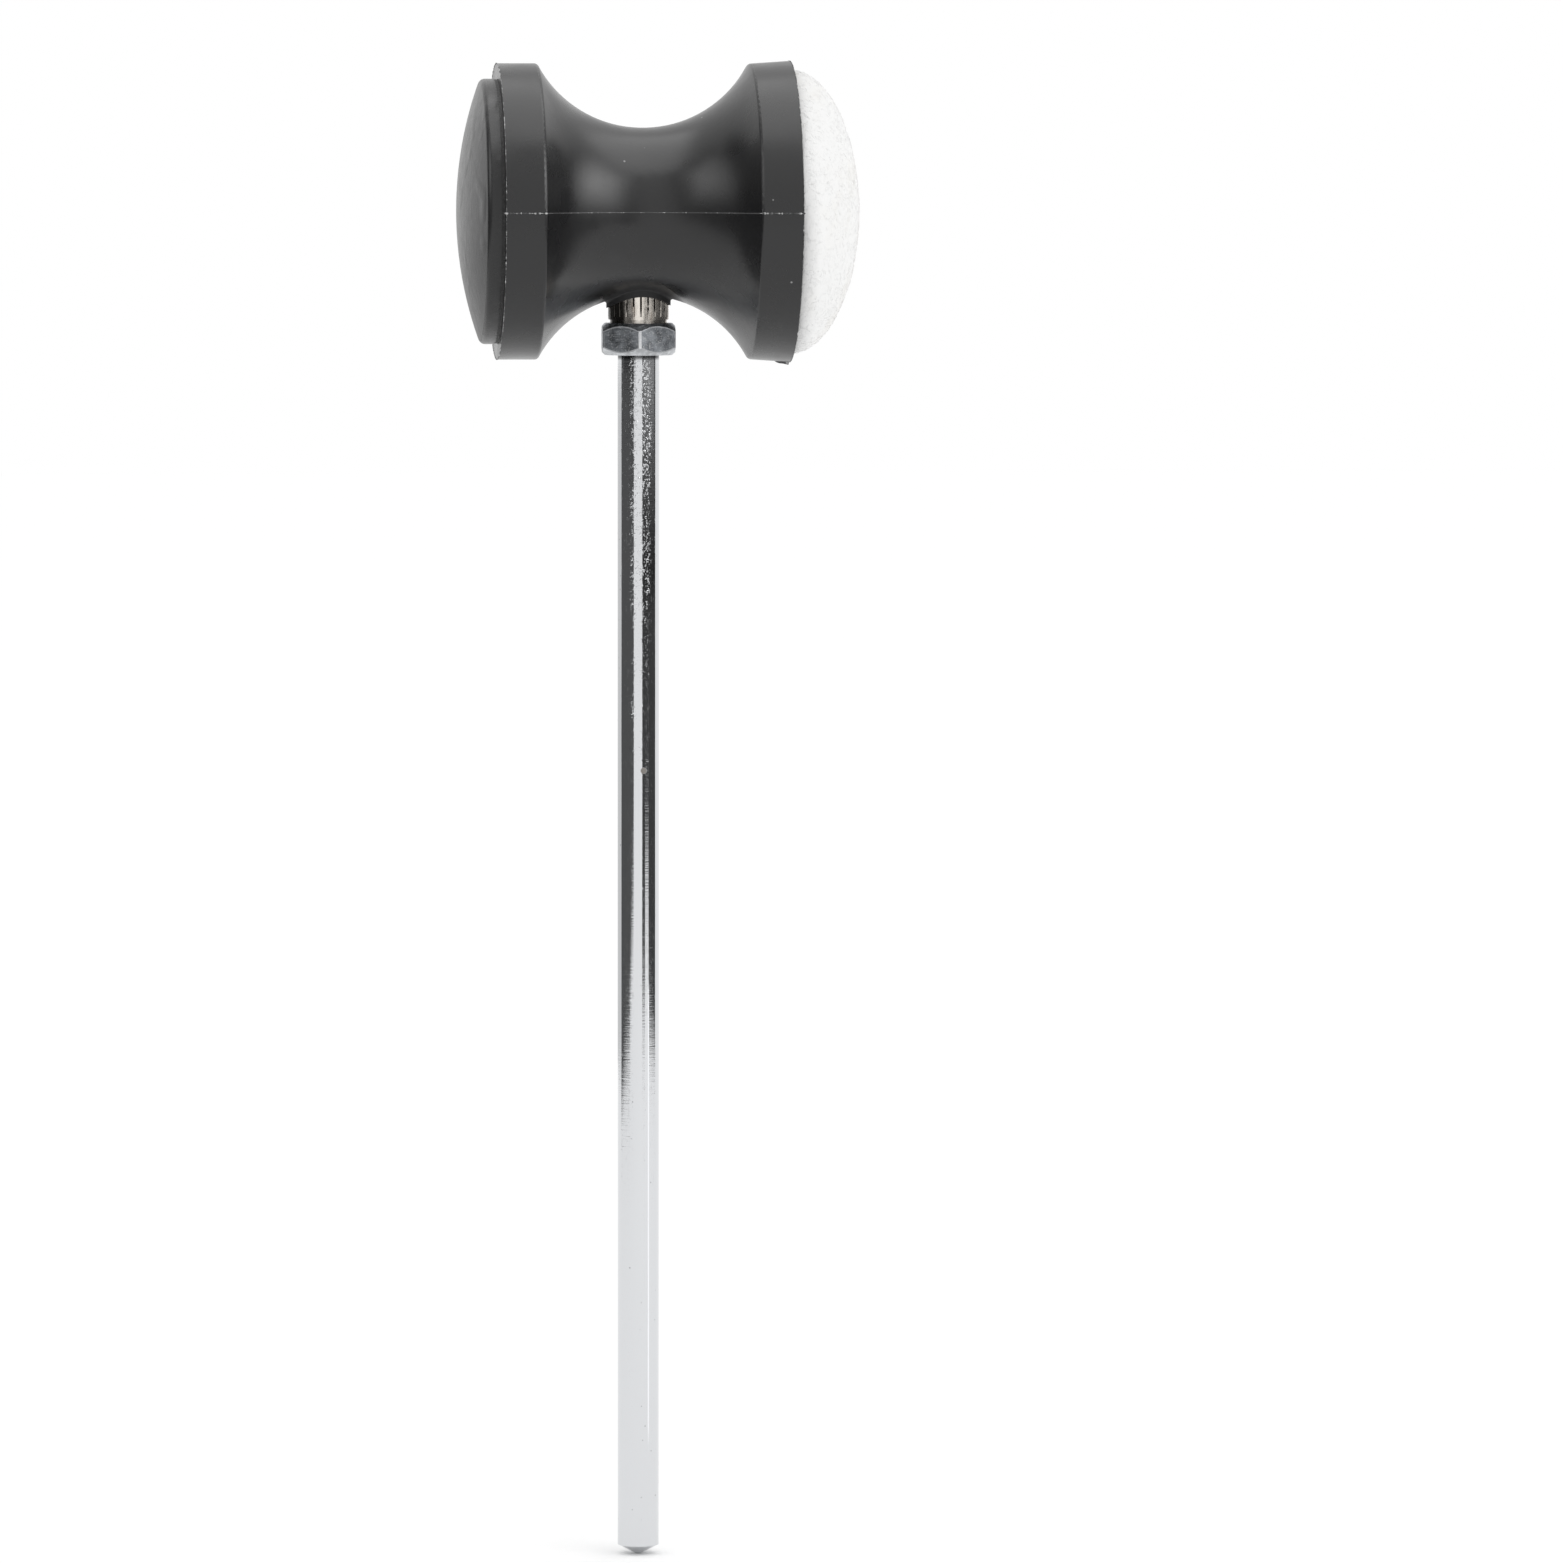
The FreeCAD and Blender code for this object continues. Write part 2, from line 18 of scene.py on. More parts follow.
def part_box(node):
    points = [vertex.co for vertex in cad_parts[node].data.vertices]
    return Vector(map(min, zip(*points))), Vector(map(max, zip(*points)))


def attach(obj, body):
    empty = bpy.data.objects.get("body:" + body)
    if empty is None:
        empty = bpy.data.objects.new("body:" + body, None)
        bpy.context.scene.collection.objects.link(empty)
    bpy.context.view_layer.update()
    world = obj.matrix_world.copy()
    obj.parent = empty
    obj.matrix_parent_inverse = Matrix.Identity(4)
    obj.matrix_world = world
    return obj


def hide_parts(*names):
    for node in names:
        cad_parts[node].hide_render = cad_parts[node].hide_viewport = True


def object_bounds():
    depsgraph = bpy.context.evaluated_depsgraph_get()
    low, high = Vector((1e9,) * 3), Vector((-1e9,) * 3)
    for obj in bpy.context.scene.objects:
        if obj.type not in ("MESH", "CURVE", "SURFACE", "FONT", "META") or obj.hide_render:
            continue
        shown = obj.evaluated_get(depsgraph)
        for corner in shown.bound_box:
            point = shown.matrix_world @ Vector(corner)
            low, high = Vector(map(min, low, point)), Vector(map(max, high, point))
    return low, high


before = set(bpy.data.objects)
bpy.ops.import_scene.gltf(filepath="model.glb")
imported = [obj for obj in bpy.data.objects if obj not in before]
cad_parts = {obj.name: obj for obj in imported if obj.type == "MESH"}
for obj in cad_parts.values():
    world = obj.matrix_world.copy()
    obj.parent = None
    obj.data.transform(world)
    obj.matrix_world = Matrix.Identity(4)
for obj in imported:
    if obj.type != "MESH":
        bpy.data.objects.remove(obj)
CAD_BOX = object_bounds()

LOG = logging.getLogger("beater")
MM = 0.001

Colour = tuple[float, float, float]
Triple = tuple[float, float, float]
Pair = tuple[float, float]
Material = bpy.types.Material
Mesh = bpy.types.Mesh
NodeTree = bpy.types.NodeTree
Piece = bpy.types.Object
Socket = bpy.types.NodeSocket

WHITE: Colour = (1.0, 1.0, 1.0)
UNTURNED: Triple = (0.0, 0.0, 0.0)
FLATTENED: Triple = (1.0, 1.0, 0.0)


def opaque(colour: Colour) -> tuple[float, float, float, float]:
    """Returns a colour with full alpha."""
    return (*colour, 1.0)


@dataclass(frozen=True)
class Span:
    """A smooth step: the range of a value that is read, and the results at its two ends."""

    low: float
    high: float
    to_low: float = 0.0
    to_high: float = 1.0


@dataclass(frozen=True)
class Grain:
    """Cloudy noise: grains in a metre, alike each way or by axis, its finer layers, turn and smooth step."""

    scale: float | Triple
    detail: float = 2.0
    rough: float = 0.5
    turned: Triple = UNTURNED
    span: Span | None = None


@dataclass(frozen=True)
class Specks:
    """Round specks: cells in a metre, the share that hold one, and its radius as a share of the cell."""

    scale: float
    share: float
    size: float


@dataclass
class NodeBench:
    """Adds nodes to one shader or geometry node tree and joins them."""

    tree: NodeTree

    def add(self, kind: str, inputs: dict[str | int, Any] | None = None, **settings: Any) -> bpy.types.Node:
        """Adds one node, sets its inputs or links them, and sets its own settings.

        Args:
            kind: the node's type name.
            inputs: a value or another node's output for each named or numbered input.
            settings: the node's own properties.

        Returns:
            The new node.
        """
        node = self.tree.nodes.new(kind)
        for name, setting in settings.items():
            setattr(node, name, setting)
        for key, source in (inputs or {}).items():
            if isinstance(source, Socket):
                self.tree.links.new(source, node.inputs[key])
            else:
                node.inputs[key].default_value = source
        return node

    def math(self, operation: str, *operands: Any) -> Socket:
        """Returns the result of a Math node's operation on numbers or sockets."""
        return self.add("ShaderNodeMath", dict(enumerate(operands)), operation=operation).outputs[0]

    def plus(self, first: Any, second: Any) -> Socket:
        """Returns the sum of two numbers or sockets."""
        return self.math("ADD", first, second)

    def times(self, first: Any, second: Any) -> Socket:
        """Returns the product of two numbers or sockets."""
        return self.math("MULTIPLY", first, second)

    def most(self, first: Any, second: Any) -> Socket:
        """Returns the greater of two numbers or sockets."""
        return self.math("MAXIMUM", first, second)

    def ramp(self, source: Socket, span: Span) -> Socket:
        """Returns the result of a smooth step over the source's range."""
        inputs = {"Value": source, "From Min": span.low, "From Max": span.high,
                  "To Min": span.to_low, "To Max": span.to_high}
        return self.add("ShaderNodeMapRange", inputs, interpolation_type="SMOOTHSTEP").outputs["Result"]

    def blend(self, factor: Any, first: Any, second: Any) -> Socket:
        """Returns a mix of two colours or sockets, by the second one's share."""
        inputs = {0: factor, 6: first, 7: second}
        return self.add("ShaderNodeMix", inputs, data_type="RGBA").outputs[2]


class SurfaceBench(NodeBench):
    """A material's bench, with the patterns that the finishes share."""

    def __init__(self, material: Material) -> None:
        """Starts from the surface shader of a material with nodes."""
        super().__init__(material.node_tree)
        self.shader = material.node_tree.nodes["Principled BSDF"]
        self.place = self.add("ShaderNodeTexCoord").outputs["Object"]

    def axes(self) -> bpy.types.NodeOutputs:
        """Returns the sockets of the three object coordinates, by name."""
        return self.add("ShaderNodeSeparateXYZ", {0: self.place}).outputs

    def reach(self, line: Pair = (0.0, 0.0)) -> Socket:
        """Returns the distance from an upright line at X and Y, by default the rod's axis."""
        shift = (-line[0], -line[1], 0.0)
        flat = self.add("ShaderNodeMapping", {"Vector": self.place, "Location": shift, "Scale": FLATTENED})
        return self.add("ShaderNodeVectorMath", {0: flat.outputs[0]}, operation="LENGTH").outputs["Value"]

    def grain(self, grain: Grain) -> Socket:
        """Adds cloudy noise.

        Args:
            grain: its scale, layers, turn and step.

        Returns:
            The noise value's socket.
        """
        place, scale = self.place, grain.scale
        if isinstance(scale, tuple):
            inputs = {"Vector": place, "Rotation": grain.turned, "Scale": scale}
            place, scale = self.add("ShaderNodeMapping", inputs).outputs[0], 1.0
        inputs = {"Vector": place, "Scale": scale, "Detail": grain.detail, "Roughness": grain.rough}
        cloud = self.add("ShaderNodeTexNoise", inputs).outputs["Fac"]
        return self.ramp(cloud, grain.span) if grain.span else cloud

    def specks(self, specks: Specks) -> Socket:
        """Adds scattered round specks.

        Args:
            specks: their cells, share and size.

        Returns:
            A socket that is 1 in a speck and 0 outside.
        """
        cells = self.add("ShaderNodeTexVoronoi", {"Vector": self.place, "Scale": specks.scale})
        chosen = self.add("ShaderNodeSeparateColor", {0: cells.outputs["Color"]}).outputs[0]
        kept = self.math("LESS_THAN", chosen, specks.share)
        return self.times(kept, self.ramp(cells.outputs["Distance"], Span(specks.size, specks.size / 2)))

    def relief(self, height: Socket, depth: float) -> None:
        """Feeds a height pattern to the shader as a bump of that depth."""
        bump = self.add("ShaderNodeBump", {"Height": height, "Strength": 1.0, "Distance": depth})
        self.feed("Normal", bump.outputs["Normal"])

    def feed(self, name: str, source: Socket) -> None:
        """Links a pattern to one of the shader's inputs."""
        self.tree.links.new(source, self.shader.inputs[name])


@dataclass(frozen=True)
class Finish:
    """A surface finish: one procedural material."""

    name: str
    colour: Colour
    roughness: float
    metallic: float = 0.0

    def make(self) -> Material:
        """Builds the material.

        Returns:
            The new material, with its even values on the shader's own sockets.
        """
        material = bpy.data.materials.new(self.name)
        material.use_nodes = True
        bench = SurfaceBench(material)
        bench.shader.inputs["Base Color"].default_value = self.tone()
        bench.shader.inputs["Roughness"].default_value = self.roughness
        bench.shader.inputs["Metallic"].default_value = self.metallic
        self.work(bench)
        return material

    def work(self, bench: SurfaceBench) -> None:
        """Adds the finish's own detail; the plain finish has none.

        Args:
            bench: the material's bench.
        """

    def tone(self, share: float = 1.0) -> tuple[float, float, float, float]:
        """Returns the colour, darkened or lightened by a share, with full alpha."""
        return opaque(tuple(share * channel for channel in self.colour))


@dataclass(frozen=True)
class ChromedSteel(Finish):
    """Bright chrome, pitted and rubbed towards its upper end, drawn in fine rings, with one stain."""

    pit_depth: float = 0.015 * MM
    pitted_height: Span = Span(110 * MM, 180 * MM, 0.4, 1.15)
    pitted_line: Pair = (0.05 * MM, -3.15 * MM)
    pitted_side: Span = Span(1.2 * MM, 2.1 * MM, 1.0, 0.4)
    clusters: Grain = Grain((420, 420, 150), 3.0, 0.6)
    clustered: Span = Span(0.18, 0.6, 0.0, 1.3)
    fine_pits: Grain = Grain((3300, 3300, 2500), 2.0, 0.55, span=Span(0.57, 0.7))
    coarse_pits: Grain = Grain((2000, 2000, 1500), 1.0, span=Span(0.63, 0.74, 0.0, 1.4))
    rings: Grain = Grain((250, 250, 5200))
    ring_depth: float = 0.2
    waves: Grain = Grain((420, 420, 60), 1.0)
    wave_depth: float = 0.8
    streaks: Grain = Grain((3600, 3600, 900), 2.0, 0.6, span=Span(0.55, 0.72, 0.0, 0.26))
    rubbed_height: Span = Span(110 * MM, 180 * MM, 0.25, 1.0)
    specks: Specks = Specks(600, 0.5, 0.09)
    speck_strength: float = 0.6
    nut_shadow_height: Span = Span(182.1 * MM, 182.7 * MM)
    speck_and_nut_shadow_tone: float = 0.2
    stain_place: Triple = (0.55 * MM, -3.1 * MM, 119.6 * MM)
    stain_edge: Span = Span(0.55 * MM, 0.385 * MM)
    stain_colour: Colour = (0.25, 0.235, 0.22)
    stain_dullness: float = 0.5

    def work(self, bench: SurfaceBench) -> None:
        """Adds clustered pits on one side, rings, waves, specks, a painted shadow under the nut, the stain
        and streaks.

        Args:
            bench: the material's bench.
        """
        height = bench.axes()["Z"]
        side = bench.ramp(bench.reach(self.pitted_line), self.pitted_side)
        pitted = bench.times(side, bench.ramp(height, self.pitted_height))
        clusters = bench.ramp(bench.times(bench.grain(self.clusters), pitted), self.clustered)
        pits = bench.times(bench.plus(bench.grain(self.fine_pits), bench.grain(self.coarse_pits)), clusters)
        rings = bench.times(bench.grain(self.rings), self.ring_depth)
        waves = bench.times(bench.grain(self.waves), self.wave_depth)
        bench.relief(bench.plus(bench.plus(pits, rings), waves), self.pit_depth)
        away = bench.add("ShaderNodeVectorMath", {0: bench.place, 1: self.stain_place}, operation="DISTANCE")
        stain = bench.ramp(away.outputs["Value"], self.stain_edge)
        specks = bench.times(bench.specks(self.specks), self.speck_strength)
        # painted shadow: a dark band just under the nut, mixed with the dark specks
        specks_and_nut_shadow = bench.most(specks, bench.ramp(height, self.nut_shadow_height))
        plate = bench.blend(specks_and_nut_shadow, self.tone(), self.tone(self.speck_and_nut_shadow_tone))
        bench.feed("Base Color", bench.blend(stain, plate, opaque(self.stain_colour)))
        rubbed = bench.times(bench.grain(self.streaks), bench.ramp(height, self.rubbed_height))
        worn = bench.plus(bench.times(stain, self.stain_dullness), rubbed)
        bench.feed("Roughness", bench.plus(worn, self.roughness))


@dataclass(frozen=True)
class ZincPlate(Finish):
    """Bluish plating with spanner scratches and stains, and painted highlights on its corners, edges and
    lower chamfer.
    """

    blotches: Grain = Grain(420, 4.0, 0.65)
    blotched: Span = Span(0.35, 0.65)
    tones: Pair = (0.32, 0.84)
    scratches: Grain = Grain((900, 900, 5200), 3.0, 0.7, (0.4, 0.2, 0.0))
    scratch_depth: float = 0.008 * MM
    scratched_roughness: Span = Span(0.35, 0.7, 0.3, 0.52)
    nicks: Grain = Grain(1900, span=Span(0.6, 0.72))
    nick_depth: float = 0.8
    nick_shine: float = 0.5
    specks: Grain = Grain(4600, span=Span(0.54, 0.7, 0.0, 0.6))
    corner_highlight_reach: Span = Span(6.22 * MM, 6.3 * MM)
    corner_highlight_across: Span = Span(2.0 * MM, 5.0 * MM, 1.0, 0.25)
    middle_height: float = 185.425 * MM
    half_height: float = 2.425 * MM
    face_radius: float = 5.1615 * MM
    chamfer_slope: float = 0.9622
    flank_start: Span = Span(-0.036 * MM, -0.072 * MM)
    edge_highlight_end: Span = Span(-0.24 * MM, -0.12 * MM)
    edge_highlight_share: float = 0.75
    lower_chamfer_highlight: Span = Span(0.5, 0.0, 0.0, 0.72)
    lower_chamfer_highlight_patches: Span = Span(0.35, 0.6, 0.55, 1.0)
    highlight_dullness: float = 0.3
    # bright metal for the nicks and specks, and the colour of the painted highlights
    bare: Colour = (0.74, 0.75, 0.76)

    def work(self, bench: SurfaceBench) -> None:
        """Adds blotches, slanted scratches, nicks, fine specks, and painted highlights on the corners, the
        edges and the lower chamfer.

        Args:
            bench: the material's bench.
        """
        blotches = bench.grain(self.blotches)
        scratches = bench.grain(self.scratches)
        nicks = bench.grain(self.nicks)
        bench.relief(bench.plus(scratches, bench.times(nicks, self.nick_depth)), self.scratch_depth)
        reach = bench.reach()
        axes = bench.axes()
        # painted highlight on the corners that face front and back
        caught = bench.ramp(bench.math("ABSOLUTE", axes["X"]), self.corner_highlight_across)
        worn = bench.times(caught, bench.ramp(reach, self.corner_highlight_reach))
        off = bench.math("ABSOLUTE", bench.math("SUBTRACT", axes["Z"], self.middle_height))
        rise = bench.times(bench.math("SUBTRACT", reach, self.face_radius), self.chamfer_slope)
        depth = bench.math("SUBTRACT", bench.plus(rise, off), self.half_height)
        flank = bench.ramp(depth, self.flank_start)
        # painted highlight: a thin bright line along the facets' borders with the chamfers
        edge = bench.times(flank, bench.ramp(depth, self.edge_highlight_end))
        plate = bench.blend(bench.ramp(blotches, self.blotched), *map(self.tone, self.tones))
        # painted highlight on the lower chamfer, in patches
        below = bench.math("LESS_THAN", axes["Z"], self.middle_height)
        lower_chamfer_highlight_mask = bench.times(below, bench.ramp(flank, self.lower_chamfer_highlight))
        lower = bench.times(lower_chamfer_highlight_mask, bench.ramp(blotches, self.lower_chamfer_highlight_patches))
        # all the painted highlights together: corners, edges and the lower chamfer
        rubbed = bench.most(bench.most(worn, lower), bench.times(edge, self.edge_highlight_share))
        specks = bench.grain(self.specks)
        bright = bench.most(rubbed, bench.most(specks, bench.times(nicks, self.nick_shine)))
        bench.feed("Base Color", bench.blend(bright, plate, opaque(self.bare)))
        dull = bench.ramp(scratches, self.scratched_roughness)
        bench.feed("Roughness", bench.plus(dull, bench.times(rubbed, self.highlight_dullness)))


@dataclass(frozen=True)
class NickelPlate(Finish):
    """Warm bright plating that has run unevenly over a turned surface, darker in its upper flutes, with
    painted shade on the cap's side.
    """

    ripple: Grain = Grain(620, 3.0)
    ripple_depth: float = 0.02 * MM
    rippled_roughness: Span = Span(0.3, 0.7, 0.16, 0.28)
    tarnish: Grain = Grain((700, 700, 180), 3.0, span=Span(0.42, 0.68))
    tarnish_colour: Colour = (0.38, 0.325, 0.275)
    flute_depth: Span = Span(4.605 * MM, 4.575 * MM)
    dark_flute_height: Span = Span(189.2 * MM, 190.0 * MM, 0.25, 1.0)
    dark_flute_noise: Grain = Grain(800, span=Span(0.34, 0.46))
    side_shade: Grain = Grain(900)
    side_shade_waver: float = 0.8 * MM
    side_shade_edge: Span = Span(-1.7 * MM, -2.3 * MM)
    side_shade_strength: float = 0.92
    dark_flutes_and_side_shade: Colour = (0.018, 0.016, 0.014)

    def work(self, bench: SurfaceBench) -> None:
        """Adds uneven plating, a warm tarnish, darker patches in the upper flutes and painted shade on the
        cap's side.

        Args:
            bench: the material's bench.
        """
        ripple = bench.grain(self.ripple)
        bench.relief(ripple, self.ripple_depth)
        plate = bench.blend(bench.grain(self.tarnish), self.tone(), opaque(self.tarnish_colour))
        axes = bench.axes()
        # darker in the upper part of the flutes, in patches
        flutes = bench.ramp(bench.reach(), self.flute_depth)
        upper = bench.times(flutes, bench.ramp(axes["Z"], self.dark_flute_height))
        dark_flutes = bench.times(upper, bench.grain(self.dark_flute_noise))
        # painted shade: the side towards the cap is darkened, with a wavering edge
        across = bench.plus(axes["X"], bench.times(bench.grain(self.side_shade), self.side_shade_waver))
        side_shade = bench.times(bench.ramp(across, self.side_shade_edge), self.side_shade_strength)
        bench.feed("Base Color", bench.blend(bench.most(dark_flutes, side_shade), plate, opaque(self.dark_flutes_and_side_shade)))
        bench.feed("Roughness", bench.ramp(ripple, self.rippled_roughness))


@dataclass(frozen=True)
class BlackMoulding(Finish):
    """Satin black plastic with a parting line, scuffs and dust."""

    parting_height: float = 0.0
    seam_edge: Span = Span(0.11 * MM, 0.0)
    seam_depth: float = 4.0
    skin: Grain = Grain(1500, 3.0)
    skin_depth: float = 0.012 * MM
    scuffs: Grain = Grain(75, 4.0, 0.6, span=Span(0.3, 0.7, 0.23, 0.35))
    dull_ring: Span = Span(7.6 * MM, 5.6 * MM)
    dull_drop: float = 9.0 * MM
    dullness: float = 0.4
    dust: Specks = Specks(330, 0.08, 0.07)
    dust_colour: Colour = (0.22, 0.22, 0.22)

    def work(self, bench: SurfaceBench) -> None:
        """Adds a moulded skin, rubbed places, dust, the parting line's step and a dull ring at the insert.

        Args:
            bench: the material's bench.
        """
        height = bench.axes()["Z"]
        off = bench.math("ABSOLUTE", bench.math("SUBTRACT", height, self.parting_height))
        seam = bench.times(bench.ramp(off, self.seam_edge), self.seam_depth)
        bench.relief(bench.plus(seam, bench.grain(self.skin)), self.skin_depth)
        scuffed = bench.grain(self.scuffs)
        below = bench.math("LESS_THAN", height, self.parting_height - self.dull_drop)
        ring = bench.times(bench.ramp(bench.reach(), self.dull_ring), below)
        bench.feed("Roughness", bench.plus(scuffed, bench.times(ring, self.dullness)))
        bench.feed("Base Color", bench.blend(bench.specks(self.dust), self.tone(), opaque(self.dust_colour)))


@dataclass(frozen=True)
class BlackCap(Finish):
    """Smooth black striking face with shallow dents and a few scuffs."""

    dents: Grain = Grain(190, 1.0, span=Span(0.56, 0.75))
    dent_depth: float = 0.09 * MM
    scuffs: Grain = Grain((900, 2600, 500), 3.0, 0.7, (0.5, 0.0, 0.3))
    scuff_depth: float = 0.01
    scuffed_roughness: Span = Span(0.35, 0.75, 0.27, 0.36)
    dust: Specks = Specks(300, 0.05, 0.07)
    dust_colour: Colour = (0.2, 0.2, 0.2)

    def work(self, bench: SurfaceBench) -> None:
        """Adds shallow dents from use, a light haze, a few scratches and dust.

        Args:
            bench: the material's bench.
        """
        dents = bench.grain(self.dents)
        scuffs = bench.grain(self.scuffs)
        bench.relief(bench.plus(dents, bench.times(scuffs, self.scuff_depth)), self.dent_depth)
        bench.feed("Roughness", bench.ramp(scuffs, self.scuffed_roughness))
        bench.feed("Base Color", bench.blend(bench.specks(self.dust), self.tone(), opaque(self.dust_colour)))


@dataclass(frozen=True)
class WhiteFelt(Finish):
    """Pressed white wool with matted fibres and a faint cream cast."""

    sheen: float = 0.25
    sheen_roughness: float = 0.6
    specular: float = 0.1
    strands: Grain = Grain((4200, 4200, 800))
    strand_turns: tuple[Triple, ...] = (UNTURNED, (0.9, 0.4, 0.2), (-0.7, -0.3, 0.5))
    tufts: Grain = Grain(900, 3.0)
    nap_depth: float = 0.05 * MM
    patches: Grain = Grain(110, 4.0, 0.6, span=Span(0.46, 0.72, 0.0, 0.45))
    cream: Colour = (0.8, 0.78, 0.735)
    rim_place: float = 0.0
    axis_height: float = 0.0
    rim_shade_width: float = 3.2 * MM
    rim_shade_top: float = 10 * MM
    rim_shade_full: float = -6 * MM
    rim_shade_tone: float = 0.8
    shaded: Span = Span(0.62, 0.42, 0.0, 0.07)
    shaded_tone: float = 0.85

    def work(self, bench: SurfaceBench) -> None:
        """Adds matted fibres in three directions with painted shade in their hollows, slow cream patches,
        painted shade on the lower part near the rim, and a soft sheen.

        Args:
            bench: the material's bench.
        """
        bench.shader.inputs["Sheen Weight"].default_value = self.sheen
        bench.shader.inputs["Sheen Roughness"].default_value = self.sheen_roughness
        bench.shader.inputs["Specular IOR Level"].default_value = self.specular
        first, second, third = (bench.grain(replace(self.strands, turned=turn)) for turn in self.strand_turns)
        mat = bench.most(bench.most(first, second), third)
        bench.relief(bench.plus(mat, bench.grain(self.tufts)), self.nap_depth)
        clean = bench.blend(bench.grain(self.patches), self.tone(), opaque(self.cream))
        axes = bench.axes()
        # painted shade on the lower part of the felt, near the flange
        near = bench.ramp(axes["X"], Span(self.rim_place + self.rim_shade_width, self.rim_place))
        lower = Span(self.axis_height + self.rim_shade_top, self.axis_height + self.rim_shade_full)
        rim_shade = bench.times(near, bench.ramp(axes["Z"], lower))
        rim_shaded = bench.blend(rim_shade, clean, self.tone(self.rim_shade_tone))
        shade = bench.ramp(mat, self.shaded)
        bench.feed("Base Color", bench.blend(shade, rim_shaded, self.tone(self.shaded_tone)))


@dataclass(frozen=True)
class Mottled(Finish):
    """A layer whose marks show as relief and in two tones, such as a foam's pores or a brush's strokes."""

    marks: Grain = Grain(3200)
    mark_depth: float = 0.05 * MM
    toned: Span | None = None
    tones: Pair = (0.7, 1.3)

    def work(self, bench: SurfaceBench) -> None:
        """Adds the marks, with a darker and a lighter tone.

        Args:
            bench: the material's bench.
        """
        marks = bench.grain(self.marks)
        bench.relief(marks, self.mark_depth)
        share = bench.ramp(marks, self.toned) if self.toned else marks
        bench.feed("Base Color", bench.blend(share, *map(self.tone, self.tones)))


@dataclass(frozen=True)
class TornPlastic(Finish):
    """The edge of torn flash: black plastic that whitened where it was stressed."""

    pale: Colour = (0.55, 0.55, 0.55)
    bits: Grain = Grain(1500, span=Span(0.55, 0.72))
    stretches: Grain = Grain(150, span=Span(0.45, 0.7, 0.0, 0.3))

    def work(self, bench: SurfaceBench) -> None:
        """Whitens some of the bits, and some stretches of the ridge faintly."""
        stress = bench.most(bench.grain(self.bits), bench.grain(self.stretches))
        bench.feed("Base Color", bench.blend(stress, self.tone(), opaque(self.pale)))


def link_mesh(name: str, mesh: Mesh) -> Piece:
    """Puts a mesh into the scene as an object at the origin."""
    piece = bpy.data.objects.new(name, mesh)
    bpy.context.scene.collection.objects.link(piece)
    return piece


def closed_mesh(name: str, bm: bmesh.types.BMesh) -> Mesh:
    """Turns a closed form's faces outwards and makes a mesh of it.

    Args:
        name: the mesh's name.
        bm: the form, which is freed.

    Returns:
        The new mesh.
    """
    bmesh.ops.recalc_face_normals(bm, faces=bm.faces)
    mesh = bpy.data.meshes.new(name)
    bm.to_mesh(mesh)
    bm.free()
    return mesh


def grown(name: str, mesh: Mesh, tree: NodeTree, values: dict[str, Any]) -> Piece:
    """Runs a geometry node tree on a mesh and keeps the result as a plain mesh.

    Args:
        name: the finished piece's name.
        mesh: what the tree starts from.
        tree: the geometry node tree.
        values: a value for each of the tree's named inputs.

    Returns:
        The finished piece, without a modifier.
    """
    seed = link_mesh(name, mesh)
    modifier = seed.modifiers.new("grow", "NODES")
    modifier.node_group = tree
    for item in tree.interface.items_tree:
        if item.item_type == "SOCKET" and item.in_out == "INPUT" and item.name in values:
            modifier[item.identifier] = values[item.name]
    graph = bpy.context.evaluated_depsgraph_get()
    result = bpy.data.meshes.new_from_object(seed.evaluated_get(graph), depsgraph=graph)
    seed.modifiers.remove(modifier)
    seed.data = result
    bpy.data.meshes.remove(mesh)
    result.name = name
    return seed


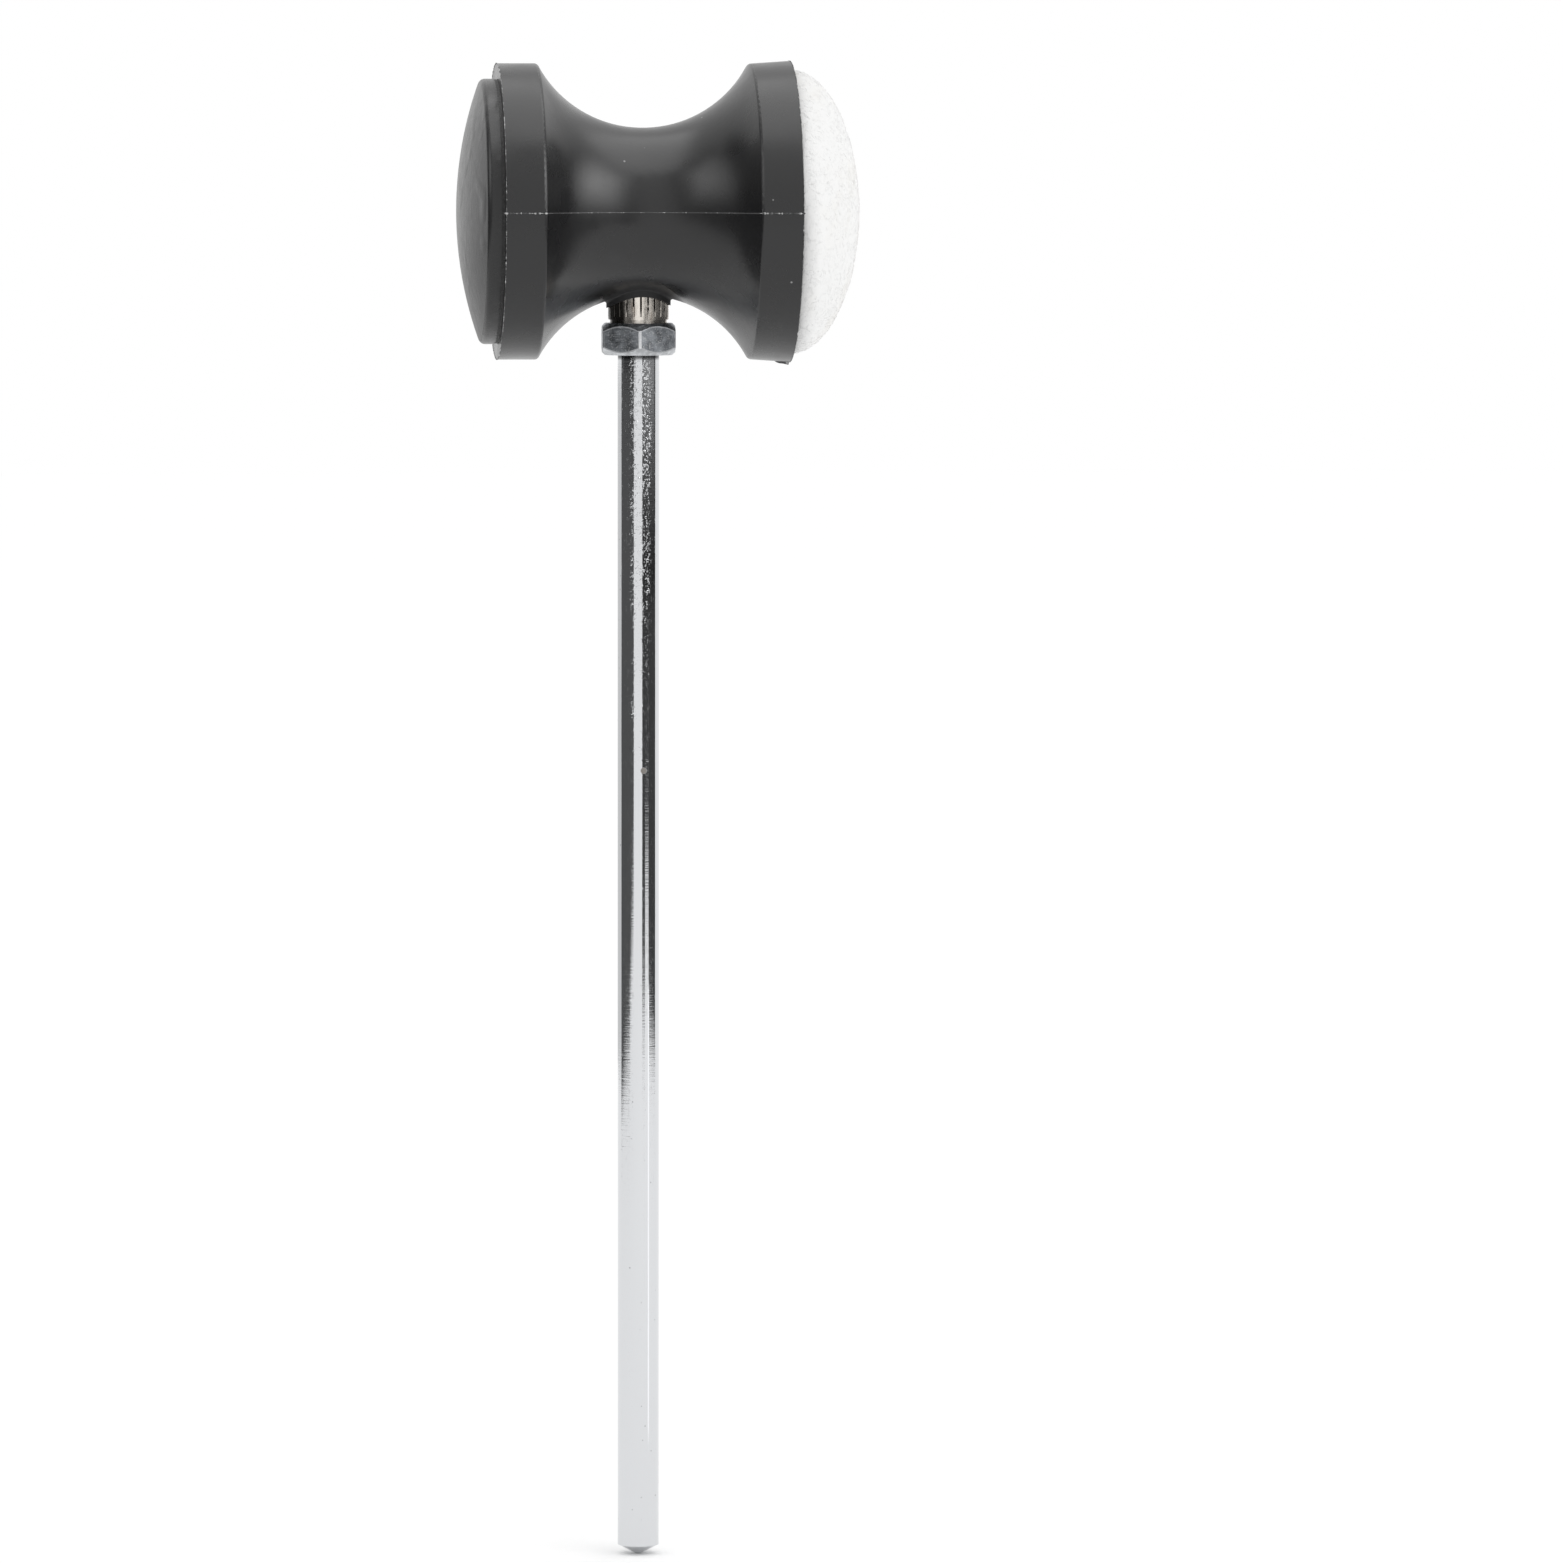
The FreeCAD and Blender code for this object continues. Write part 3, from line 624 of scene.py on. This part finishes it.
class GrowthTree:
    """A geometry node tree with a mesh going in and a dressed mesh coming out."""

    def __init__(self, name: str, sizes: tuple[str, ...]) -> None:
        """Makes the empty tree, with a seed and a finish besides its sizes.

        Args:
            name: the tree's name.
            sizes: the names of the inputs that are plain numbers.
        """
        sockets = dict.fromkeys(sizes, "NodeSocketFloat")
        sockets |= {"Seed": "NodeSocketInt", "Finish": "NodeSocketMaterial"}
        self.tree = bpy.data.node_groups.new(name, "GeometryNodeTree")
        self.tree.interface.new_socket("Geometry", in_out="INPUT", socket_type="NodeSocketGeometry")
        for label, kind in sockets.items():
            self.tree.interface.new_socket(label, in_out="INPUT", socket_type=kind)
        self.tree.interface.new_socket("Geometry", in_out="OUTPUT", socket_type="NodeSocketGeometry")
        self.bench = NodeBench(self.tree)
        self.given = self.bench.add("NodeGroupInput").outputs

    def swept(self, path: Socket, sides: int, radius: Socket) -> Socket:
        """Returns a closed tube of so many sides along a curve."""
        section = self.bench.add("GeometryNodeCurvePrimitiveCircle", {"Resolution": sides, "Radius": radius})
        inputs = {"Curve": path, "Profile Curve": section.outputs[0], "Fill Caps": True}
        return self.bench.add("GeometryNodeCurveToMesh", inputs).outputs[0]

    def spread(self, low: float | Triple, high: float | Triple, seed_shift: int) -> Socket:
        """Adds a random value between two limits.

        Args:
            low: the least value, or three of them.
            high: the greatest value.
            seed_shift: keeps this draw apart from the tree's others.

        Returns:
            The drawn value's socket.
        """
        kind, first = ("FLOAT_VECTOR", 0) if isinstance(low, tuple) else ("FLOAT", 2)
        seed = self.bench.plus(self.given["Seed"], seed_shift)
        inputs = {first: low, first + 1: high, "Seed": seed}
        return self.bench.add("FunctionNodeRandomValue", inputs, data_type=kind).outputs[first // 2]

    def close(self, *shapes: Socket) -> NodeTree:
        """Joins what was made and gives it the finish.

        Args:
            shapes: the geometry's sockets.

        Returns:
            The finished tree.
        """
        joined = self.bench.add("GeometryNodeJoinGeometry")
        for shape in shapes:
            self.tree.links.new(shape, joined.inputs[0])
        real = self.bench.add("GeometryNodeRealizeInstances", {0: joined.outputs[0]}).outputs[0]
        inputs = {"Geometry": real, "Material": self.given["Finish"]}
        dressed = self.bench.add("GeometryNodeSetMaterial", inputs)
        self.bench.add("NodeGroupOutput", {0: dressed.outputs[0]})
        return self.tree


@dataclass(frozen=True)
class FlashForm:
    """What all flash shares: its ridge's sides, and how its torn bits are shaped and chosen."""

    ridge_sides: int = 5
    bit_least: Triple = (0.35, 0.35, 0.7)
    bit_most: Triple = (1.0, 1.0, 2.6)
    chance: float = 0.12
    patch_detail: float = 2.0

    def tree(self) -> NodeTree:
        """Builds the tree that grows a thin ridge with torn bits along a path of edges.

        Returns:
            The tree, with inputs for the ridge, the bits, how many of them stay, the seed and the finish.
        """
        growth = GrowthTree("moulding_flash", ("Ridge", "Bit", "Spacing", "Share", "Patch"))
        bench, given = growth.bench, growth.given
        path = bench.add("GeometryNodeMeshToCurve", {0: given["Geometry"]}).outputs[0]
        ridge = growth.swept(path, self.ridge_sides, given["Ridge"])
        inputs = {"Curve": path, "Length": given["Spacing"]}
        points = bench.add("GeometryNodeCurveToPoints", inputs, mode="LENGTH")
        where = bench.add("GeometryNodeInputPosition").outputs[0]
        inputs = {"Vector": where, "W": given["Seed"], "Scale": given["Patch"], "Detail": self.patch_detail}
        cloud = bench.add("ShaderNodeTexNoise", inputs, noise_dimensions="4D")
        chance = bench.plus(cloud.outputs["Fac"], growth.spread(-self.chance, self.chance, 1))
        bare = bench.math("GREATER_THAN", chance, given["Share"])
        inputs = {"Geometry": points.outputs["Points"], "Selection": bare}
        bits = bench.add("GeometryNodeDeleteGeometry", inputs, domain="POINT").outputs[0]
        lump = bench.add("GeometryNodeMeshIcoSphere", {"Radius": given["Bit"], "Subdivisions": 1}).outputs[0]
        size = growth.spread(self.bit_least, self.bit_most, 2)
        inputs = {"Points": bits, "Instance": lump, "Rotation": points.outputs["Rotation"], "Scale": size}
        lumps = bench.add("GeometryNodeInstanceOnPoints", inputs).outputs[0]
        return growth.close(lumps, ridge)


@dataclass(frozen=True)
class FibreForm:
    """How a loose fibre bows, for one of unit length that lies along X."""

    start: Triple = (-0.5, 0.0, -0.04)
    middle: Triple = (0.0, 0.12, 0.34)
    end: Triple = (0.5, -0.1, -0.04)
    steps: int = 3
    sides: int = 3
    shortest: float = 0.5
    longest: float = 1.4

    def tree(self) -> NodeTree:
        """Builds the tree that lays loose fibres over a felt surface.

        Returns:
            The tree, with inputs for the fibres' number, length and thickness, the seed and the finish.
        """
        growth = GrowthTree("felt_fibres", ("Density", "Length", "Thickness"))
        bench, given = growth.bench, growth.given
        inputs = {"Mesh": given["Geometry"], "Density": given["Density"], "Seed": given["Seed"]}
        scatter = bench.add("GeometryNodeDistributePointsOnFaces", inputs)
        inputs = {"Resolution": self.steps, "Start": self.start, "Middle": self.middle, "End": self.end}
        bow = bench.add("GeometryNodeCurveQuadraticBezier", inputs).outputs[0]
        thin = bench.math("DIVIDE", given["Thickness"], given["Length"])
        strand = growth.swept(bow, self.sides, thin)
        inputs = {"Axis": (0.0, 0.0, 1.0), "Angle": growth.spread(0.0, math.tau, 1)}
        spun = bench.add("FunctionNodeAxisAngleToRotation", inputs).outputs[0]
        inputs = {0: scatter.outputs["Rotation"], 1: spun}
        lie = bench.add("FunctionNodeRotateRotation", inputs, rotation_space="LOCAL").outputs[0]
        length = bench.times(given["Length"], growth.spread(self.shortest, self.longest, 2))
        inputs = {"Points": scatter.outputs["Points"], "Instance": strand, "Rotation": lie, "Scale": length}
        fibres = bench.add("GeometryNodeInstanceOnPoints", inputs).outputs[0]
        return growth.close(fibres, given["Geometry"])


@dataclass
class RodAssembly:
    """The chromed rod with its lock nut, both of which keep their CAD shape."""

    chrome: Finish = ChromedSteel("chromed_steel", (0.68, 0.69, 0.705), 0.06, 1.0)
    zinc: Finish = ZincPlate("zinc_plate", (0.5, 0.53, 0.57), 0.38, 1.0)

    def build(self) -> None:
        """Dresses the two nodes."""
        dress("rod", self.chrome)
        dress("lock_nut", self.zinc)


class Side(Enum):
    """Which way along Y a half of the parting line faces."""

    FRONT = -1
    BACK = 1


@dataclass(frozen=True)
class Flash:
    """How coarse one kind of flash is: its ridge, its torn bits, and the patches that they gather in."""

    ridge: float
    bit: float
    spacing: float
    share: float
    patch: float

    def inputs(self, seed: int, finish: Material) -> dict[str, Any]:
        """Returns the values of the flash tree's inputs."""
        return {"Ridge": self.ridge, "Bit": self.bit, "Spacing": self.spacing, "Share": self.share,
                "Patch": self.patch, "Seed": seed, "Finish": finish}


@dataclass
class HeadAssembly:
    """The moulded spool with its insert, cap, tape and glue, and the flash that the mould left on it."""

    centre_x: float = 0.62 * MM
    flange_radius: float = 22.5 * MM
    felt_flange_radius: float = 22.93 * MM
    waist_radius: float = 12.75 * MM
    hollow_radius: float = 18.35 * MM
    path_steps: int = 120
    rim_steps: int = 240
    seam: Flash = Flash(0.036 * MM, 0.07 * MM, 0.15 * MM, 0.43, 260.0)
    seam_seed: int = 11
    tears: Flash = Flash(0.03 * MM, 0.17 * MM, 0.5 * MM, 0.52, 900.0)
    tears_seed: int = 52
    rim: Flash = Flash(0.03 * MM, 0.11 * MM, 0.22 * MM, 0.48, 300.0)
    cap_rim_seed: int = 21
    felt_rim_seed: int = 34
    sliver_length: float = 2.2 * MM
    sliver_drop: float = 0.5 * MM
    sliver_half_width: float = 0.35 * MM
    sliver_root: float = 0.1 * MM
    sliver_steps: int = 8
    sliver_even: float = 0.85
    sliver_ragged: float = 0.3
    sliver_taper: float = 0.4
    sliver_lean: float = 0.3
    black: BlackMoulding = BlackMoulding("black_moulding", (0.01, 0.01, 0.0105), 0.28)
    nickel: Finish = NickelPlate("nickel_plate", (0.78, 0.735, 0.675), 0.2, 1.0)
    cap: Finish = BlackCap("black_cap", (0.009, 0.009, 0.0095), 0.3)
    tape: Finish = Mottled("black_tape", (0.022, 0.022, 0.022), 0.45, toned=Span(0.4, 0.7))
    glue: Finish = Mottled("set_glue", (0.62, 0.5, 0.3), 0.4,
                           marks=Grain((400, 2200, 300), 3.0), tones=(0.75, 1.15))
    torn: Finish = TornPlastic("torn_plastic", (0.03, 0.03, 0.032), 0.5)
    paler: Finish = TornPlastic("pale_torn_plastic", (0.03, 0.03, 0.032), 0.5,
                                pale=(0.42, 0.42, 0.42), bits=Grain(1500, span=Span(0.43, 0.64)))

    def __post_init__(self) -> None:
        """Reads the head's place and ends from the frame, and makes the tree that grows its flash."""
        self.tree = FlashForm().tree()
        low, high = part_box("head_body")
        self.left, self.right = low.x, high.x
        self.axis_z = (low.z + high.z) / 2
        self.hollow_centre = self.waist_radius + self.hollow_radius
        self.hollow_half = math.sqrt(self.hollow_radius ** 2 - (self.hollow_centre - self.flange_radius) ** 2)

    def radius_at(self, x: float) -> float:
        """Works out the spool's outline.

        Args:
            x: a place along the head's axis.

        Returns:
            The radius there.
        """
        off = x - self.centre_x
        if abs(off) < self.hollow_half:
            return self.hollow_centre - math.sqrt(self.hollow_radius ** 2 - off ** 2)
        if off < 0:
            return self.flange_radius
        flare = (off - self.hollow_half) / (self.right - self.centre_x - self.hollow_half)
        return self.flange_radius + flare * (self.felt_flange_radius - self.flange_radius)

    def parting_path(self, side: Side) -> list[Vector]:
        """Returns points along the spool's outline, in the plane where the mould's halves met."""
        width = self.right - self.left
        spots = [self.left + width * i / self.path_steps for i in range(self.path_steps + 1)]
        return [Vector((x, side.value * self.radius_at(x), self.axis_z)) for x in spots]

    def rim_path(self, x: float, radius: float) -> list[Vector]:
        """Returns points round one rim."""
        turns = [math.tau * i / self.rim_steps for i in range(self.rim_steps)]
        return [Vector((x, radius * math.cos(t), self.axis_z + radius * math.sin(t))) for t in turns]

    def build(self) -> None:
        """Dresses the nodes and grows the flash."""
        body = replace(self.black, parting_height=self.axis_z)
        finishes = {"head_body": body, "threaded_insert": self.nickel, "strike_cap": self.cap,
                    "cap_tape_ring": self.tape, "felt_glue_disc": self.glue}
        for node, finish in finishes.items():
            dress(node, finish)
        torn, paler = self.torn.make(), self.paler.make()
        paths = {side: self.parting_path(side) for side in Side}
        for side, path in paths.items():
            values = self.seam.inputs(self.seam_seed + side.value, torn)
            self.flash(f"parting_flash_{side.name.lower()}", path, False, values)
        for side, path in paths.items():
            runs = {"cap": [spot for spot in path if spot.x < self.centre_x - self.hollow_half],
                    "felt": [spot for spot in path if spot.x > self.centre_x + self.hollow_half]}
            for end, run in runs.items():
                values = self.tears.inputs(self.tears_seed + side.value, paler)
                self.flash(f"{end}_flange_tears_{side.name.lower()}", run, False, values)
        rims = {"cap_rim_flash": (self.left, self.flange_radius, self.cap_rim_seed, paler),
                "felt_rim_flash": (self.right, self.felt_flange_radius, self.felt_rim_seed, torn)}
        for name, (x, radius, seed, finish) in rims.items():
            self.flash(name, self.rim_path(x, radius), True, self.rim.inputs(seed, finish))
        sliver = self.sliver()
        sliver.materials.append(torn)
        self.carry(link_mesh("rim_sliver", sliver))

    def sliver(self) -> Mesh:
        """Builds the torn tongue of flash that hangs from the felt flange's lower edge.

        Returns:
            The closed mesh, with its place in it.
        """
        bm = bmesh.new()
        rows = []
        for i in range(self.sliver_steps + 1):
            share = i / self.sliver_steps
            x = self.right - self.sliver_length * (1 - share)
            skin = self.axis_z - self.radius_at(x)
            ragged = self.sliver_even + self.sliver_ragged * noise.noise(Vector((x / MM, 0.0, 0.0)))
            tip = skin - self.sliver_drop * math.sqrt(share) * ragged
            half = self.sliver_half_width * (1 - self.sliver_taper * share)
            root = skin + self.sliver_root
            corners = ((-half, root), (half, root), (self.sliver_lean * half, tip))
            rows.append([bm.verts.new((x, y, z)) for y, z in corners])
        for near, far in zip(rows, rows[1:]):
            for i in range(len(near)):
                j = (i + 1) % len(near)
                bm.faces.new((near[i], near[j], far[j], far[i]))
        bm.faces.new(rows[0])
        bm.faces.new(rows[-1])
        return closed_mesh("rim_sliver", bm)

    def flash(self, name: str, path: list[Vector], closed: bool, values: dict[str, Any]) -> None:
        """Grows one line of flash and lets it ride on the head.

        Args:
            name: the piece's name.
            path: the points that it follows.
            closed: whether the path runs round.
            values: the flash tree's inputs.
        """
        steps = [(i, i + 1) for i in range(len(path) - 1)]
        if closed:
            steps.append((len(path) - 1, 0))
        mesh = bpy.data.meshes.new(f"{name}_path")
        mesh.from_pydata(path, steps, [])
        self.carry(grown(name, mesh, self.tree, values))

    def carry(self, piece: Piece) -> None:
        """Lets a piece of flash ride on the head."""
        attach(piece, "head")
        report(piece)


@dataclass
class FeltPad:
    """The pressed felt dome, with its root in the flange."""

    root_radius: float = 18.95 * MM
    base_round: float = 0.5 * MM
    base_depth: float = 0.25 * MM
    base_turns: Triple = (0.3, 0.8, 1.3)
    around: int = 180
    rings: int = 54
    lump: float = 0.12 * MM
    lump_scale: float = 160.0
    nap: float = 0.05 * MM
    nap_scale: float = 800.0
    nap_shift: Triple = (7.0, 3.0, 5.0)
    fibre_density: float = 2.6e6
    fibre_length: float = 0.62 * MM
    fibre_thickness: float = 0.014 * MM
    fibre_seed: int = 5
    wool: WhiteFelt = WhiteFelt("white_felt", (0.855, 0.855, 0.85), 0.95)

    def __post_init__(self) -> None:
        """Reads the CAD solid's place and size from the frame."""
        low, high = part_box("felt_pad")
        self.back, self.apex = low.x, high.x
        self.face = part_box("head_body")[1].x
        self.crown = self.apex - self.face
        self.radius = (high.z - low.z) / 2
        self.axis_z = (low.z + high.z) / 2

    def profile(self) -> list[Pair]:
        """Works out the felt's half section.

        Returns:
            Places along X and their radii, from the apex to the root.
        """
        steps = [math.pi / 2 * i / self.rings for i in range(1, self.rings)]
        dome = [(self.face + self.crown * math.cos(t), self.radius * math.sin(t)) for t in steps]
        edge = [(self.face + self.base_depth * (1 - math.sin(t)),
                 self.radius - self.base_round * (1 - math.cos(t))) for t in self.base_turns]
        root = [(self.face, self.root_radius), (self.back, self.root_radius)]
        return dome + edge + root

    def fuzzed(self, point: Vector, outward: Vector) -> Vector:
        """Moves a point of the dome out or in by the felt's lumps and nap."""
        slow = noise.noise(point * self.lump_scale)
        fine = noise.noise(point * self.nap_scale + Vector(self.nap_shift))
        return point + outward * (self.lump * slow + self.nap * fine)

    def shell(self) -> Mesh:
        """Builds the closed felt form.

        Returns:
            The mesh, with its place in it.
        """
        bm = bmesh.new()
        rows = []
        for x, radius in self.profile():
            row = []
            for i in range(self.around):
                turn = math.tau * i / self.around
                spoke = Vector((0.0, math.cos(turn), math.sin(turn)))
                point = Vector((x, 0.0, self.axis_z)) + spoke * radius
                forward = Vector((x - self.face, 0.0, 0.0)) / self.crown
                outward = forward + spoke * (radius / self.radius)
                free = x > self.face + self.base_round
                row.append(bm.verts.new(self.fuzzed(point, outward.normalized()) if free else point))
            rows.append(row)
        tip = bm.verts.new(Vector((self.apex, 0.0, self.axis_z)))
        floor = bm.verts.new(Vector((self.back, 0.0, self.axis_z)))
        for i in range(self.around):
            j = (i + 1) % self.around
            bm.faces.new((tip, rows[0][i], rows[0][j]))
            bm.faces.new((floor, rows[-1][j], rows[-1][i]))
            for upper, lower in zip(rows, rows[1:]):
                bm.faces.new((upper[i], lower[i], lower[j], upper[j]))
        mesh = closed_mesh("felt_shell", bm)
        mesh.shade_smooth()
        return mesh

    def build(self) -> None:
        """Makes the felt and sets it in place of the CAD solid."""
        wool = replace(self.wool, rim_place=self.face, axis_height=self.axis_z)
        values = {"Density": self.fibre_density, "Length": self.fibre_length,
                  "Thickness": self.fibre_thickness, "Seed": self.fibre_seed, "Finish": wool.make()}
        felt = grown("felt_dome", self.shell(), FibreForm().tree(), values)
        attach(felt, "head")
        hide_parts("felt_pad")
        report(felt)


def dress(node: str, finish: Finish) -> None:
    """Gives a CAD node its finish."""
    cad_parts[node].material_slots[0].material = finish.make()
    LOG.info("%s: %s", node, finish.name)


def report(piece: Piece) -> None:
    """Logs a finished piece."""
    LOG.info("%s: %d faces", piece.name, len(piece.data.polygons))


class Edge(Enum):
    """How a card's glow ends at its edges."""

    HARD = 0.0
    SOFT = 1.0


@dataclass(frozen=True)
class Card:
    """An upright curved card round the rod that only reflections see, its angles in degrees."""

    name: str
    radiance: float
    angles: Pair
    radii: Pair
    heights: Pair
    edge: Edge = Edge.HARD
    even_share: float = 0.1
    steps: int = 24

    def glow(self, across: float, up: float) -> float:
        """Returns the share of the radiance at a place on the card, both ways from 0 to 1."""
        off = max(abs(2 * across - 1), abs(2 * up - 1))
        fall = max(0.0, (off - self.even_share) / (1.0 - self.even_share))
        return 1.0 - self.edge.value * fall * fall * (3 - 2 * fall)


@dataclass
class Studio:
    """A white floor under even white light, with cards that shape the reflections.

    The cards' angles start at toward_camera, the azimuth from the rod to the camera, in radians.
    """

    toward_camera: float
    floor_half: float = 4.0
    roof_height: float = 1.1
    roof_left: float = -0.35
    roof_right: float = 0.8
    roof_half_depth: float = 0.6
    roof_radiance: float = 2.5
    lamp_power: float = 2.5
    lamp_size: float = 1.0
    lamp_place: Triple = (0.7, -0.8, 1.4)
    lamp_aim: Triple = (0.0, 0.0, 0.15)
    cards: tuple[Card, ...] = (
        Card("flag_left_near", 0.1, (-51.0, -25.0), (0.74, 1.2), (0.0, 0.75)),
        Card("flag_left", 0.1, (-109.0, -51.0), (0.6, 0.74), (0.001, 0.75)),
        Card("flag_right_near", 0.06, (21.5, 38.0), (0.85, 0.85), (0.0, 0.75)),
        Card("flag_right_far", 0.06, (38.0, 59.0), (1.23, 1.23), (0.0, 0.95)),
        Card("flag_right", 0.06, (59.0, 108.5), (0.74, 0.68), (0.005, 0.75)),
        Card("grey_left", 0.74, (-172.0, -109.0), (0.7, 0.7), (0.0, 0.16)),
        Card("strip_right", 1.4, (54.5, 62.0), (0.12, 0.12), (0.0, 0.075)),
        Card("box_left", 2.4, (-90.0, -15.0), (0.45, 0.45), (0.17, 0.85), Edge.SOFT),
        Card("box_right", 4.7, (22.0, 104.0), (0.5, 0.5), (0.12, 0.84), Edge.SOFT),
    )

    def build(self) -> None:
        """Builds the world, the floor, the cards and the lamp."""
        self.world()
        self.floor()
        for card in self.cards:
            self.card(card)
        self.roof()
        self.lamp()

    def world(self) -> None:
        """Makes the surroundings plain white."""
        world = bpy.data.worlds.new("white_room")
        world.use_nodes = True
        background = world.node_tree.nodes["Background"]
        background.inputs["Color"].default_value = opaque(WHITE)
        background.inputs["Strength"].default_value = 1.0
        bpy.context.scene.world = world

    def sheet(self, name: str, low: Pair, high: Pair, level: float) -> Mesh:
        """Makes a level rectangle.

        Args:
            name: the mesh's name.
            low: its least X and Y.
            high: its greatest X and Y.
            level: its height.

        Returns:
            The new mesh.
        """
        mesh = bpy.data.meshes.new(name)
        corners = (low, (high[0], low[1]), high, (low[0], high[1]))
        mesh.from_pydata([(x, y, level) for x, y in corners], [], [(0, 1, 2, 3)])
        return mesh

    def coat(self, name: str) -> tuple[Material, NodeBench]:
        """Makes a material without nodes.

        Args:
            name: the material's name.

        Returns:
            The material, and a bench to fill it.
        """
        material = bpy.data.materials.new(name)
        material.use_nodes = True
        material.node_tree.nodes.clear()
        return material, NodeBench(material.node_tree)

    def floor(self) -> None:
        """Lays the floor just under the rod's point."""
        half = self.floor_half
        mesh = self.sheet("floor", (-half, -half), (half, half), CAD_BOX[0].z)
        material, bench = self.coat("floor_white")
        paint = bench.add("ShaderNodeBsdfDiffuse", {"Color": opaque(WHITE)})
        bench.add("ShaderNodeOutputMaterial", {"Surface": paint.outputs[0]})
        mesh.materials.append(material)
        link_mesh("floor", mesh)

    def roof(self) -> None:
        """Hangs one level card over the beater."""
        depth = self.roof_half_depth
        mesh = self.sheet("box_top", (self.roof_left, -depth), (self.roof_right, depth), self.roof_height)
        self.reflected(mesh, [1.0] * len(mesh.vertices), self.roof_radiance)

    def card(self, card: Card) -> None:
        """Builds one upright card.

        Args:
            card: its place and radiance.
        """
        points, shares = [], []
        for i in range(card.steps + 1):
            across = i / card.steps
            turn = math.radians(card.angles[0] + across * (card.angles[1] - card.angles[0]))
            angle = self.toward_camera + turn
            radius = card.radii[0] + across * (card.radii[1] - card.radii[0])
            for j in range(card.steps + 1):
                up = j / card.steps
                height = card.heights[0] + up * (card.heights[1] - card.heights[0])
                points.append((radius * math.sin(angle), -radius * math.cos(angle), height))
                shares.append(card.glow(across, up))
        row = card.steps + 1
        starts = [row * i + j for i in range(card.steps) for j in range(card.steps)]
        mesh = bpy.data.meshes.new(card.name)
        mesh.from_pydata(points, [], [(k, k + row, k + row + 1, k + 1) for k in starts])
        self.reflected(mesh, shares, card.radiance)

    def reflected(self, mesh: Mesh, shares: list[float], radiance: float) -> None:
        """Makes a card of a mesh that glows and shows it to glossy rays alone.

        Args:
            mesh: the card's mesh, which gives it its name.
            shares: the share of the radiance at each of its points.
            radiance: how brightly it glows.
        """
        mesh.attributes.new("glow", "FLOAT", "POINT").data.foreach_set("value", shares)
        material, bench = self.coat(mesh.name)
        share = bench.add("ShaderNodeAttribute", attribute_name="glow").outputs["Fac"]
        glow = bench.add("ShaderNodeEmission", {"Strength": bench.times(share, radiance)})
        bench.add("ShaderNodeOutputMaterial", {"Surface": glow.outputs[0]})
        mesh.materials.append(material)
        card = link_mesh(mesh.name, mesh)
        for ray in ("camera", "diffuse", "shadow", "transmission"):
            setattr(card, f"visible_{ray}", False)

    def lamp(self) -> None:
        """Hangs one soft lamp, which gives the white felt its form."""
        data = bpy.data.lights.new("soft_lamp", "AREA")
        data.energy = self.lamp_power
        data.size = self.lamp_size
        lamp = bpy.data.objects.new("soft_lamp", data)
        lamp.location = self.lamp_place
        way = Vector(self.lamp_aim) - lamp.location
        lamp.rotation_euler = way.to_track_quat("-Z", "Y").to_euler()
        bpy.context.scene.collection.objects.link(lamp)


@dataclass
class PhotoCamera:
    """The photograph's viewpoint."""

    aim: Triple = (0.02202, 0.0, 0.11759)
    azimuth: float = math.radians(-5.65)
    elevation: float = math.radians(4.3)
    distance: float = 1.4
    roll: float = math.radians(0.08)
    frame_width: float = 0.23962
    sensor: float = 36.0

    def place(self) -> Vector:
        """Returns where the camera stands."""
        level = math.cos(self.elevation)
        x, y = math.sin(self.azimuth) * level, -math.cos(self.azimuth) * level
        return Vector(self.aim) + Vector((x, y, math.sin(self.elevation))) * self.distance

    def azimuth_from_rod(self) -> float:
        """Returns the azimuth from the rod's axis to the camera, in radians."""
        spot = self.place()
        return math.atan2(spot.x, -spot.y)

    def build(self) -> None:
        """Creates the scene's camera."""
        data = bpy.data.cameras.new("photo_camera")
        data.sensor_width = self.sensor
        data.lens = self.sensor * self.distance / self.frame_width
        camera = bpy.data.objects.new("photo_camera", data)
        camera.location = self.place()
        level = (Vector(self.aim) - camera.location).to_track_quat("-Z", "Y")
        camera.rotation_euler = (level @ Quaternion((0.0, 0.0, 1.0), self.roll)).to_euler()
        bpy.context.scene.collection.objects.link(camera)
        bpy.context.scene.camera = camera


def main() -> None:
    """Builds the camera, the studio and the dressed beater, in that order."""
    logging.basicConfig(level=logging.INFO, format="%(name)s: %(message)s")
    bpy.context.scene.view_settings.view_transform = "Standard"
    camera = PhotoCamera()
    camera.build()
    Studio(camera.azimuth_from_rod()).build()
    RodAssembly().build()
    HeadAssembly().build()
    FeltPad().build()


if __name__ == "__main__":
    main()
